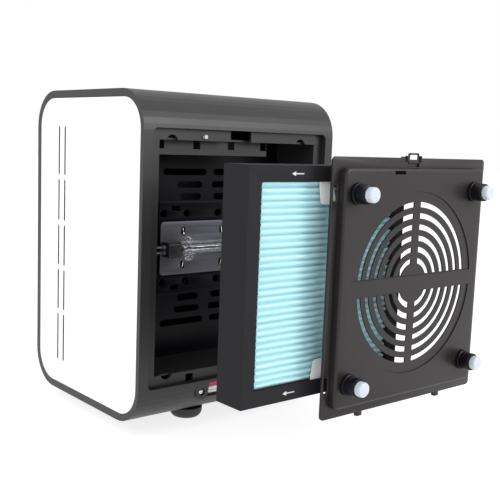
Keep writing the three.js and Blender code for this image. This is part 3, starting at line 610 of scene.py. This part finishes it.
# ------------------------------------------------------------------ lamp springs
# Two fine extension springs of bright wire hold the tube: each is hooked in the slot above it, runs over
# the open side of the glass as a stretched coil and is hooked again in the slot below.
COIL = 2.5
COIL_WIRE = 0.36
COIL_CLEAR = 0.75  # coil to the glass
COIL_TURNS = 12
COIL_STEPS = COIL_TURNS * 16
COIL_START = -8.0  # degrees from the top of the tube
COIL_SWEEP = 196.0
for i, x in enumerate(SPRING_X):
    name = f"lamp_spring_{i + 1}"
    low, high = housing_box(name)
    reach = TUBE + COIL + COIL_CLEAR
    arc_path = []
    for step in range(COIL_STEPS + 1):
        share = step / COIL_STEPS
        sweep = math.radians(COIL_START + COIL_SWEEP * share)
        twist = 2 * math.pi * share * COIL_TURNS
        outward = Vector((0, math.sin(sweep), math.cos(sweep)))
        centre = Vector((x, LAMP_Y, LAMP_Z)) + outward * reach
        arc_path.append(centre + outward * COIL * math.cos(twist) + Vector((COIL * math.sin(twist), 0, 0)))
    hooks = []  # each runs from an end of the coil, in past the tube and through its slot
    for sign in (1, -1):
        hooks.append(wire_mesh(smooth_path([
            (x, LAMP_Y - 2.0, LAMP_Z + sign * (reach + 0.2)),
            (x, LAMP_Y - 5.5, LAMP_Z + sign * (reach + 2.8)),
            (x, sheet_high.y + 2.2, LAMP_Z + sign * (HOOK_REACH - 3.0)),
            (x, sheet_high.y + 0.9, LAMP_Z + sign * (HOOK_REACH + 2.0)),
            (x, sheet_high.y + 0.1, LAMP_Z + sign * (HOOK_REACH + 3.4)),
        ], 6), COIL_WIRE, 8))
    spring = add_piece(name + "_coil", merged([wire_mesh(arc_path, COIL_WIRE, 7), *hooks]), bright_wire)
    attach(spring, "housing")
    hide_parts(name)

# ------------------------------------------------------------------ fan
# A moulded squirrel-cage wheel on a steel shaft, turned by a shaded-pole motor on a plated bracket.
plated = Finish("zinc_plate", Metallic=1.0)
plate_bloom = plated.grain(90, 5)
plated.drive("Base Color", plated.between(plate_bloom, (0.38, 0.38, 0.37), (0.58, 0.57, 0.55)))
plated.drive("Roughness", plate_bloom * 0.2 + 0.25)
keep("fan_wheel", dull_black, 0.3)
keep("fan_shaft", bright_wire)
keep("fan_motor", plated, 0.6)
keep("motor_bracket", plated, 0.4)

# ------------------------------------------------------------------ front controls
# A black panel set in the front shell carries three round push buttons under a frosted lens, with the
# control board behind it.
button_grey = moulded("button_abs", (0.05, 0.05, 0.052), (0.07, 0.07, 0.072), 0.4)
keep("control_panel", glossy_black, 0.5)
for name in ("power_button", "speed_button", "lamp_button"):
    keep(name, button_grey, 0.7)
frosted = Finish("frosted_lens", Transmission_Weight=0.4, IOR=1.49)
frost = frosted.grain(800, 2)
frosted.drive("Base Color", frosted.between(frost, (0.62, 0.66, 0.70), (0.74, 0.78, 0.82)))
frosted.drive("Roughness", frost * 0.15 + 0.35)
keep("indicator_lens", frosted, 0.3)
board_green = Finish("circuit_board")
board_mask = board_green.grain(240, 3)
board_green.drive("Base Color", board_green.between(board_mask, (0.010, 0.09, 0.04), (0.02, 0.16, 0.07)))
board_green.drive("Roughness", board_mask * 0.2 + 0.3)
keep("control_board", board_green, 0.2)

# ------------------------------------------------------------------ safety switch
# A small black switch behind the rear ledge. Its pale plunger stands through the ledge until the cover
# presses it in.
plunger_white = Finish("acetal_plunger")
plunger_haze = plunger_white.grain(300, 2)
plunger_white.drive("Base Color", plunger_white.between(plunger_haze, (0.52, 0.51, 0.48), (0.64, 0.63, 0.6)))
plunger_white.drive("Roughness", plunger_haze * 0.1 + 0.35)
keep("switch_plunger", plunger_white, 0.4)
keep("safety_switch", dull_black, 0.3)

# ------------------------------------------------------------------ lower rear edge
# Two plated pan-head screws stand in moulded barrels and hold the shells together. Between them a
# printed label, crimson over white, is stuck in a shallow pocket. The power inlet is at the far corner.
for name in ("rear_screw_right", "rear_screw_left"):
    low, high = housing_box(name)
    centre = ((low.x + high.x) / 2, low.y, (low.z + high.z) / 2)
    length = high.y - low.y
    screw = add_piece(name + "_head", turned_mesh([
        (1.9, 0), (1.9, length - 2.3), (3.3, length - 2.2), (3.3, length - 1.5), (3.1, length - 0.8),
        (2.5, length - 0.3), (1.6, length - 0.05), (1.3, length), (1.1, length - 0.9), (0.1, length - 1.3),
    ], "y", centre, 32), bright_wire)
    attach(screw, "housing")
    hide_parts(name)

LABEL_SPLIT = 0.55  # share of its height that is white
RULE_UP = 2.6  # grey rule to the label's lower edge
RULE_HALF = 0.4
label_low, label_high = housing_box("rating_label")
label_print = Finish("printed_label", Roughness=0.4, Coat_Weight=0.3)
_, _, label_z = label_print.place()
label_top = label_z > (HOUSING.z + (label_low.z + (label_high.z - label_low.z) * LABEL_SPLIT) * MM)
from_rule = label_z - (HOUSING.z + (label_low.z + RULE_UP) * MM)
rule = from_rule.sum("ABSOLUTE", from_rule) < RULE_HALF * MM
label_paper = label_print.between(rule * 0.7, (0.82, 0.82, 0.82), (0.25, 0.25, 0.27))
label_print.drive("Base Color", label_print.between(label_top, label_paper, (0.56, 0.016, 0.11)))
label = add_piece("printed_label", plate_mesh(
    rounded(label_low.x, label_high.x, label_low.z, label_high.z, 1.2, 4), [], "rear",
    label_low.y, label_high.y, 0.15,
), label_print)
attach(label, "housing")
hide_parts("rating_label")
keep("power_inlet", dull_black, 0.4)

# ------------------------------------------------------------------ feet
# Four moulded rubber pucks with a rounded lower edge and a shallow dish underneath.
foot_rubber = Finish("foot_rubber")
foot_dust = foot_rubber.grain(180, 5)
foot_rubber.drive("Base Color", foot_rubber.between(foot_dust, (0.016, 0.016, 0.017), (0.036, 0.035, 0.036)))
foot_rubber.drive("Roughness", foot_dust * 0.2 + 0.5)
foot_rubber.emboss(foot_rubber.grain(900, 2), 0.00006)
FOOT_TREAD = 0.62  # share of the radius that touches the floor
FOOT_CURVE = 0.72  # share of the height that is rounded
for name in ("foot_rear_right", "foot_rear_left", "foot_front_right", "foot_front_left"):
    low, high = housing_box(name)
    radius = (high.x - low.x) / 2
    tall = high.z - low.z
    curve = []
    for t in range(0, 91, 10):
        turn = math.radians(t)
        curve.append((
            radius * (FOOT_TREAD + (1 - FOOT_TREAD) * math.sin(turn)),
            tall * FOOT_CURVE * (1 - math.cos(turn)),
        ))
    foot = add_piece(name + "_puck", turned_mesh(
        [(radius * 0.5, 0.7), (radius * 0.56, 0.1), *curve, (radius, tall - 0.4), (radius - 0.4, tall)],
        "z", ((low.x + high.x) / 2, (low.y + high.y) / 2, low.z), 56,
    ), foot_rubber)
    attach(foot, "housing")
    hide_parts(name)

# ------------------------------------------------------------------ filter frame
# Four channels of stiff grey-black board, mitred at the corners and glued round the pleats. The board is
# matt and fibrous, with paler and darker patches at random.
filter_board = Finish("filter_board", Specular_IOR_Level=0.16)
fibre = filter_board.grain(700, 5, (1, 1, 0.35))
patch = filter_board.grain(18, 4)
filter_board.drive("Base Color", filter_board.between(
    (fibre * 0.55 + patch * 0.45).clamped(), (0.009, 0.0084, 0.0105), (0.018, 0.0166, 0.020),
))
filter_board.drive("Roughness", fibre * 0.15 + 0.62)
filter_board.emboss(fibre, 0.00012)

BORDER = 15.0
board_low, board_high = housing_box("filter_frame")
x0, x1, z0, z1 = board_low.x, board_high.x, board_low.z, board_high.z
inner_x0, inner_x1, inner_z0, inner_z1 = x0 + BORDER, x1 - BORDER, z0 + BORDER, z1 - BORDER
channels = [
    [(x0, z0), (x1, z0), (inner_x1, inner_z0), (inner_x0, inner_z0)],
    [(x1, z0), (x1, z1), (inner_x1, inner_z1), (inner_x1, inner_z0)],
    [(x1, z1), (x0, z1), (inner_x0, inner_z1), (inner_x1, inner_z1)],
    [(x0, z1), (x0, z0), (inner_x0, inner_z0), (inner_x0, inner_z1)],
]
frame_board = add_piece("filter_frame_board", merged([
    plate_mesh(outline, [], "rear", board_low.y, board_high.y, 0.28) for outline in channels
]), filter_board)
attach(frame_board, "filter")
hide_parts("filter_frame")

# A pair of plain printed arrows stands on the top board and another pair on the bottom board.
ARROWS = (70.0, 150.0)  # from the left end of the frame
frame_ink = Finish("frame_ink", Roughness=0.6)
ink_wear = frame_ink.grain(900, 3)
frame_ink.drive("Base Color", frame_ink.between(ink_wear, (0.42, 0.42, 0.42), (0.72, 0.72, 0.72)))
arrow_marks = []
for z in (z1 - BORDER / 2, z0 + BORDER / 2):
    for x in (x0 + ARROWS[0], x0 + ARROWS[1]):
        arrow_marks.append(plate_mesh(
            [(x - 7, z - 0.5), (x + 3, z - 0.5), (x + 3, z - 2.1), (x + 8, z), (x + 3, z + 2.1),
             (x + 3, z + 0.5), (x - 7, z + 0.5)],
            [], "rear", board_high.y - 0.06, board_high.y + 0.08, 0.04,
        ))
arrows = add_piece("frame_arrows", merged(arrow_marks), frame_ink)
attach(arrows, "filter")

# ------------------------------------------------------------------ pleats
# One long sheet of melt-blown fibre paper, dyed pale cyan and folded across the frame. Each fold sags a
# little over the one below, and a bead of hot glue down the middle keeps them apart. Its blue is painted
# darker down in the creases as shade and paler towards the ridges as highlight.
pleat_low, pleat_high = housing_box("filter_pleats")
FOLDS = 31
PAPER_STEP = 4.5  # from one point to the next across the paper
PAPER_STEPS = 40
TUCKED = 1.0  # paper behind the edge of the board
SUNK = 0.8  # a ridge below the face of the pack, before its unevenness
FOLD_SHAPE = [  # share of the pitch from one valley to the next, and depth below the ridge
    (0.00, 3.6), (0.10, 3.1), (0.25, 2.1), (0.42, 1.1), (0.56, 0.4), (0.66, 0.1), (0.73, 0.0),
    (0.80, 0.2), (0.86, 0.9), (0.92, 2.1), (0.97, 3.2),
]
GLUE_X = 0.0
GLUE_HALF = 1.3
GLUE_FILLS = 0.72  # share of the fold's depth that is left over the glue
SHADE_DEPTH = 3.4  # where the painted crease shade starts below the ridge, and how far it fades into the painted ridge highlight
SHADE_FADE = 3.2
pleat_bottom = inner_z0 - TUCKED
fold_pitch = (inner_z1 - inner_z0 + 2 * TUCKED) / FOLDS
columns = sorted({round(inner_x0 - TUCKED + i * PAPER_STEP, 3) for i in range(PAPER_STEPS + 1)} | {
    GLUE_X - GLUE_HALF - 0.3, GLUE_X - GLUE_HALF, GLUE_X + GLUE_HALF, GLUE_X + GLUE_HALF + 0.3,
})
columns = [x for x in columns if x <= inner_x1 + TUCKED]
rows = [(i, share, depth) for i in range(FOLDS) for share, depth in FOLD_SHAPE]
rows.append((FOLDS, *FOLD_SHAPE[0]))
uneven = random.Random(7)
fold_lean = [uneven.uniform(-0.35, 0.35) for _ in range(FOLDS + 1)]
fold_rise = [uneven.uniform(0.0, 0.5) for _ in range(FOLDS + 1)]
points = []
for fold, share, depth in rows:
    for x in columns:
        ripple = noise.noise(Vector((x * 0.035, fold * 1.7, 0.3))) * 0.8
        on_glue = abs(x - GLUE_X) <= GLUE_HALF
        sunk = depth * (GLUE_FILLS if on_glue else 1.0) + fold_rise[fold] + ripple * 0.3 + SUNK
        lean = fold_lean[fold] + ripple * 0.45
        z = pleat_bottom + (fold + share) * fold_pitch + lean * math.sin(math.pi * share)
        points.append((x, pleat_high.y - sunk, z))
wide = len(columns)
tall = len(rows)
faces = [
    (r * wide + c, r * wide + c + 1, (r + 1) * wide + c + 1, (r + 1) * wide + c)
    for r in range(tall - 1) for c in range(wide - 1)
]
edge_loop = (
    [c for c in range(wide)] + [r * wide + wide - 1 for r in range(1, tall)]
    + [(tall - 1) * wide + c for c in range(wide - 2, -1, -1)] + [r * wide for r in range(tall - 2, 0, -1)]
)
first_back = len(points)
points += [(points[i][0], pleat_low.y, points[i][2]) for i in edge_loop]
for i, here in enumerate(edge_loop):
    j = (i + 1) % len(edge_loop)
    faces.append((edge_loop[j], here, first_back + i, first_back + j))
faces.append(tuple(range(first_back, len(points))))
pleat_mesh = bpy.data.meshes.new("pleated_sheet")
pleat_mesh.from_pydata(points, [], faces)

fibre_paper = Finish("fibre_paper", Subsurface_Weight=0.15, Subsurface_Scale=0.002)
fibre_paper.shader.inputs["Subsurface Radius"].default_value = (0.6, 1.0, 1.0)
_, paper_y, _ = fibre_paper.place()
# Painted shade and highlight: the blue is darker down in the creases, where shade falls, and paler towards
# the ridges, where light falls.
crease_shade_to_ridge_light = ((paper_y - (HOUSING.y + (pleat_high.y - SHADE_DEPTH) * MM)) * (1 / (SHADE_FADE * MM))).clamped()
lint = fibre_paper.grain(1300, 5)
cloud = fibre_paper.grain(35, 3)
crease_shade_blue = fibre_paper.between(cloud, (0.38, 0.66, 0.72), (0.43, 0.70, 0.75))
ridge_highlight_blue = fibre_paper.between(lint, (0.47, 0.74, 0.78), (0.57, 0.81, 0.84))
fibre_paper.drive("Base Color", fibre_paper.between(crease_shade_to_ridge_light, crease_shade_blue, ridge_highlight_blue))
fibre_paper.drive("Roughness", lint * 0.1 + 0.8)
fibre_paper.emboss(lint, 0.00015)
pleats = add_piece("pleated_media", pleat_mesh, fibre_paper, angle=60)
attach(pleats, "filter")
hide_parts("filter_pleats")

# ------------------------------------------------------------------ carbon layer
# A felt pad loaded with carbon grains backs the pleats on the fan side.
carbon_felt = Finish("carbon_felt")
grains = carbon_felt.node("ShaderNodeTexVoronoi", inputs={
    "Vector": carbon_felt.node("ShaderNodeTexCoord", output="Object"), "Scale": 420.0,
})
carbon_felt.drive("Base Color", carbon_felt.between(
    grains.clamped(), (0.045, 0.045, 0.047), (0.012, 0.012, 0.013),
))
carbon_felt.drive("Roughness", grains * 0.2 + 0.7)
carbon_felt.emboss(grains, 0.0004)
keep("carbon_layer", carbon_felt, 0.4)

# ------------------------------------------------------------------ pull tabs
# Two ribbons of white non-woven cloth are tucked behind the frame at the top and bottom of the window
# and curl away from the pleats at their free ends.
ribbon_cloth = Finish("ribbon_cloth", Sheen_Weight=0.3)
weave = ribbon_cloth.grain(1600, 4)
ribbon_cloth.drive("Base Color", ribbon_cloth.between(weave, (0.80, 0.81, 0.80), (0.90, 0.91, 0.90)))
ribbon_cloth.drive("Roughness", weave * 0.15 + 0.7)
ribbon_cloth.emboss(weave, 0.00012)
TAB_LONG = 21.5
TAB_THICK = 0.55
TAB_ROOT = -1.4  # root of the ribbon to the face of the board
TAB_CURL = 3.4  # how far the free end rises from the root
TAB_CUP = 0.9  # how far its two edges rise at the free end
TAB_TWIST = 0.7
TAB_END = 0.14  # share of the length over which the end's corners round off
TAB_CORNER = 2.2
for name, root_z, way in (("pull_tab_upper", inner_z1, -1), ("pull_tab_lower", inner_z0, 1)):
    low, high = housing_box(name)
    middle = (low.x + high.x) / 2
    half = (high.x - low.x) / 2
    across = 12
    along = 16
    front = []
    back = []
    for r in range(along + 1):
        share = r / along
        corner_cut = max(0.0, share - (1 - TAB_END)) / TAB_END
        width = half - TAB_CORNER * (1 - math.sqrt(max(0.0, 1 - corner_cut ** 2)))
        for c in range(across + 1):
            u = 2 * c / across - 1
            lift = TAB_ROOT + TAB_CURL * share ** 1.6 + TAB_CUP * share * u * u - TAB_TWIST * share * u
            z = root_z + way * TAB_LONG * share * (1 - 0.03 * share)
            y = board_high.y + lift
            front.append((middle + u * width, y, z))
            back.append((middle + u * width, y - TAB_THICK, z))
    count = len(front)
    step = across + 1
    faces = []
    for r in range(along):
        for c in range(across):
            a = r * step + c
            faces.append((a, a + 1, a + step + 1, a + step))
            faces.append((count + a + step, count + a + step + 1, count + a + 1, count + a))
    rim = (
        [c for c in range(step)] + [r * step + across for r in range(1, along + 1)]
        + [along * step + c for c in range(across - 1, -1, -1)] + [r * step for r in range(along - 1, 0, -1)]
    )
    for i, here in enumerate(rim):
        there = rim[(i + 1) % len(rim)]
        faces.append((there, here, count + here, count + there))
    tab_mesh = bpy.data.meshes.new(name)
    tab_mesh.from_pydata(front + back, [], faces)
    tab = add_piece(name + "_ribbon", tab_mesh, ribbon_cloth, angle=50)
    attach(tab, "filter")
    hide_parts(name)

# ------------------------------------------------------------------ rear cover
# One charcoal moulding: a flat flange, and on it a shallow dish with a rounded edge. The air passes
# through rings of curved slots, sunk in a round field that a level bar crosses.
cover_low, cover_high = housing_box("rear_cover")
COVER_X = (cover_high.x - cover_low.x) / 2
PEG_DROP = 5.0  # lower pegs below the flange
COVER_TALL = (cover_high.z - cover_low.z - PEG_DROP) / 2
COVER = HOUSING + Vector((
    (cover_low.x + cover_high.x) / 2, cover_high.y, cover_high.z - COVER_TALL,
)) * MM
FLANGE_FRONT = -7.5
FLANGE_BACK = -10.0
DISH_INSET = 10.0
DISH_WALL = 2.5
DISH_ROUND = 2.4
DISH_CORNER = 7.0
DISH_INNER_CORNER = 4.5
DISH_FOOT = 1.2  # dish below the front of the flange
FLANGE_CORNER = 4.5
latch_low, latch_high = housing_box("cover_latch")
LATCH_X = (latch_low.x + latch_high.x) / 2 - (cover_low.x + cover_high.x) / 2
LATCH_GAP = 9.0
LATCH_DEPTH = 9.2

cover_plastic = moulded(
    "cover_abs", (0.012, 0.0102, 0.010), (0.019, 0.016, 0.0155), 0.33, 1300, 0.00003, Specular_IOR_Level=0.3,
)


def dish_loop(inset, depth, radius):
    return [(x, depth, z) for x, z in rounded(
        -COVER_X + DISH_INSET + inset, COVER_X - DISH_INSET - inset,
        -COVER_TALL + DISH_INSET + inset, COVER_TALL - DISH_INSET - inset, radius, 8,
    )]


dish_loops = [
    dish_loop(DISH_WALL, -DISH_WALL, DISH_INNER_CORNER),
    dish_loop(DISH_WALL, FLANGE_FRONT - DISH_FOOT, DISH_INNER_CORNER),
    dish_loop(0, FLANGE_FRONT - DISH_FOOT, DISH_CORNER),
    dish_loop(0, FLANGE_FRONT + 0.4, DISH_CORNER),
]
for t in range(0, 91, 15):
    turn = math.radians(t)
    dish_loops.append(dish_loop(
        0.35 + DISH_ROUND * (1 - math.cos(turn)), -DISH_ROUND * (1 - math.sin(turn)),
        DISH_CORNER - DISH_ROUND * (1 - math.cos(turn)),
    ))

GRILLE_OUTER = 82.0
GRILLE_PITCH = 11.3
GRILLE_SLOT = 5.2
GRILLE_RINGS = 6
LEVEL_BAR = 8.5
UPRIGHT_BAR = 5.0
FIELD = 92.5
FIELD_DEPTH = 1.1


def through_cut(outline, low, high):
    return loft([[(x, low, z) for x, z in outline], [(x, high, z) for x, z in outline]])


cuts = []
for ring in range(GRILLE_RINGS):
    outer = GRILLE_OUTER - ring * GRILLE_PITCH
    inner = outer - GRILLE_SLOT
    steps = 26 - 3 * ring
    outer_foot = math.degrees(math.asin(LEVEL_BAR / outer))
    outer_head = math.degrees(math.acos(UPRIGHT_BAR / outer))
    inner_foot = math.degrees(math.asin(LEVEL_BAR / inner))
    inner_head = math.degrees(math.acos(UPRIGHT_BAR / inner))
    quarter = arc(0, 0, outer, outer_foot, outer_head, steps)
    quarter += arc(0, 0, inner, inner_head, inner_foot, steps)
    for sign_x, sign_z in ((1, 1), (-1, 1), (-1, -1), (1, -1)):
        cuts.append(through_cut([(x * sign_x, z * sign_z) for x, z in quarter], -DISH_WALL - 2, 2))
for sign in (1, -1):
    start = math.degrees(math.asin((LEVEL_BAR - 0.8) / FIELD))
    cuts.append(through_cut(
        [(x, z * sign) for x, z in arc(0, 0, FIELD, start, 180 - start, 80)], -FIELD_DEPTH, 2,
    ))
DISH_TOP = COVER_TALL - DISH_INSET
TOP_SLOT = (22.0, 38.0)
TOP_SLOT_DROP = (6.0, 2.4)  # its lower and upper edges, from the top of the dish
cuts.append(soft_block_mesh(
    Vector((TOP_SLOT[0], -DISH_WALL - 0.5, DISH_TOP - TOP_SLOT_DROP[0])),
    Vector((TOP_SLOT[1], 2, DISH_TOP - TOP_SLOT_DROP[1])), 0.3, 1,
))


def carved(solid_mesh, cut_meshes, name):
    """The solid with the cuts taken out of it. All are in millimetres."""
    solid_holder = bpy.data.objects.new(name, solid_mesh)
    cut_mesh = merged(cut_meshes)
    cut_holder = bpy.data.objects.new(name + "_cuts", cut_mesh)
    for holder in (solid_holder, cut_holder):
        bpy.context.scene.collection.objects.link(holder)
        outward = bmesh.new()
        outward.from_mesh(holder.data)
        bmesh.ops.recalc_face_normals(outward, faces=outward.faces)
        outward.to_mesh(holder.data)
        outward.free()
    taking = solid_holder.modifiers.new("carve", "BOOLEAN")
    taking.operation = "DIFFERENCE"
    taking.solver = "EXACT"
    taking.use_self = True
    taking.object = cut_holder
    seen = solid_holder.evaluated_get(bpy.context.evaluated_depsgraph_get())
    mesh = bpy.data.meshes.new_from_object(seen)
    bpy.data.objects.remove(solid_holder)
    bpy.data.objects.remove(cut_holder)
    return mesh


dish = carved(loft(dish_loops), cuts, "cover_dish")

notch_left = LATCH_X - LATCH_GAP
notch_right = LATCH_X + LATCH_GAP
outline = rounded(-COVER_X, COVER_X, -COVER_TALL, COVER_TALL, FLANGE_CORNER, 6)
top_right = next(i for i, (x, z) in enumerate(outline) if z > COVER_TALL - 0.01 and x < COVER_X)
outline[top_right + 1:top_right + 1] = [
    (notch_right, COVER_TALL), (notch_right, COVER_TALL - LATCH_DEPTH),
    (notch_left, COVER_TALL - LATCH_DEPTH), (notch_left, COVER_TALL),
]
seat_low, seat_high = housing_box("spacer_post_1")
SEAT_Z = (seat_low.z + seat_high.z) / 2 - (cover_high.z - COVER_TALL)
SEAT_SLOT = (8.0, 2.5)  # the sides of a slot in the flange beside a spacer, from the edge
SEAT_SLOT_HALF = 8.0
flange_holes = []
for slot_z in (SEAT_Z, -SEAT_Z):
    flange_holes.append(rounded(
        COVER_X - SEAT_SLOT[0], COVER_X - SEAT_SLOT[1],
        slot_z - SEAT_SLOT_HALF, slot_z + SEAT_SLOT_HALF, 2.7, 6,
    ))
flange_holes.append([(x, z) for x, _, z in dish_loop(DISH_WALL, 0, DISH_INNER_CORNER)])
flange = plate_mesh(outline, flange_holes, "rear", FLANGE_BACK, FLANGE_FRONT, 0.45)

PEG_X = 60.75
PEG_HALF = 3.25
PEG_BACK = 3.5  # peg behind the back of the flange
pegs = []
for x in (PEG_X, -PEG_X):
    pegs.append(soft_block_mesh(
        Vector((x - PEG_HALF, FLANGE_BACK - PEG_BACK, -COVER_TALL - PEG_DROP)),
        Vector((x + PEG_HALF, FLANGE_FRONT - 0.3, -COVER_TALL + 1)), 0.9, 1.6,
    ))
for x in (notch_left - 2.4, notch_right + 0.6):
    pegs.append(soft_block_mesh(
        Vector((x, FLANGE_BACK + 0.2, COVER_TALL - 4)),
        Vector((x + 1.8, FLANGE_FRONT + 1.2, COVER_TALL + 2.2)), 0.5, 0.9,
    ))
WEB = 0.6  # thin web behind the hoop
pegs.append(plate_mesh(
    rounded(notch_left - 1, notch_right + 1, COVER_TALL - LATCH_DEPTH - 1, COVER_TALL - 4.5, 0.5, 3), [],
    "rear", FLANGE_BACK, FLANGE_BACK + WEB, 0.15,
))
pegs.append(soft_block_mesh(
    Vector((notch_right + 2.6, FLANGE_BACK + 0.4, COVER_TALL - 1)),
    Vector((notch_right + 9, FLANGE_FRONT - 0.4, COVER_TALL + 1.3)), 0.5, 0.8,
))
shell = add_piece("rear_cover_moulding", merged([dish, flange, *pegs]), cover_plastic, COVER, 32)
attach(shell, "cover")
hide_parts("rear_cover")

# ------------------------------------------------------------------ cover latch
# A sprung hoop moulded in the same plastic. It stands above the cover's top edge, and is pushed down with
# a fingertip to free the cover.
EYE_HALF = 6.0
EYE = (6.6, 1.8)  # lower and upper edges of its eye, from its top
hoop_low = latch_low - (COVER - HOUSING) / MM
hoop_high = latch_high - (COVER - HOUSING) / MM
hoop = plate_mesh(
    rounded(hoop_low.x, hoop_high.x, hoop_low.z, hoop_high.z, 1.4, 5),
    [rounded(
        LATCH_X - EYE_HALF, LATCH_X + EYE_HALF, hoop_high.z - EYE[0], hoop_high.z - EYE[1], 0.7, 4,
    )],
    "rear", hoop_low.y + WEB + 0.3, hoop_high.y, 0.4,
)
grip = soft_block_mesh(
    Vector((hoop_low.x + 1.5, hoop_high.y - 0.4, hoop_high.z - 1.9)),
    Vector((hoop_high.x - 1.5, hoop_high.y + 1.1, hoop_high.z - 0.2)), 0.5, 0.8,
)
latch = add_piece("latch_hoop", merged([hoop, grip]), cover_plastic, COVER)
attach(latch, "latch")
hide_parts("cover_latch")

# ------------------------------------------------------------------ spacers
# Four collared black posts are pushed into the cover near its corners. A soft, milky cap on the end of
# each keeps the purifier off the wall without marking it.
CAP_ROUND = 2.2
milky = Finish("milky_elastomer", IOR=1.42, Subsurface_Weight=0.35, Subsurface_Scale=0.004)
milk_cloud = milky.grain(160, 3)
milky.drive("Base Color", milky.between(milk_cloud, (0.44, 0.48, 0.54), (0.58, 0.62, 0.68)))
milky.drive("Roughness", milk_cloud * 0.15 + 0.22)
for i in range(1, 5):
    low, high = housing_box(f"spacer_post_{i}")
    centre = ((low.x + high.x) / 2, low.y, (low.z + high.z) / 2)
    wide = (high.x - low.x) / 2
    slim = wide - 1.2
    long = high.y - low.y
    post = add_piece(f"spacer_post_{i}_turned", turned_mesh([
        (wide - 0.4, -0.3), (wide, 0.2), (wide, 2.5), (wide - 0.5, 3.0), (slim, 3.2), (slim, 7.0),
        (slim - 0.35, 7.2), (slim - 0.35, 7.8), (slim, 8.0), (slim, long - 1.0), (slim - 0.3, long - 0.3),
        (slim - 1.0, long),
    ], "y", centre, 48), glossy_black)
    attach(post, "cover")
    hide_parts(f"spacer_post_{i}")
    low, high = housing_box(f"spacer_cap_{i}")
    wide = (high.x - low.x) / 2
    long = high.y - low.y
    dome = []
    for t in range(0, 91, 15):
        turn = math.radians(t)
        dome.append((
            wide - CAP_ROUND * (1 - math.cos(turn)), long - CAP_ROUND * (1 - math.sin(turn)) - 0.25,
        ))
    cap = add_piece(f"spacer_cap_{i}_moulding", turned_mesh([
        (wide - 0.3, -0.2), (wide, 0.3), (wide, 1.8), (wide - 0.25, 2.1), (wide, 2.4), *dome,
        (wide - 4, long), (0, long),
    ], "y", (centre[0], low.y, centre[2]), 48), milky)
    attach(cap, "cover")
    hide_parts(f"spacer_cap_{i}")
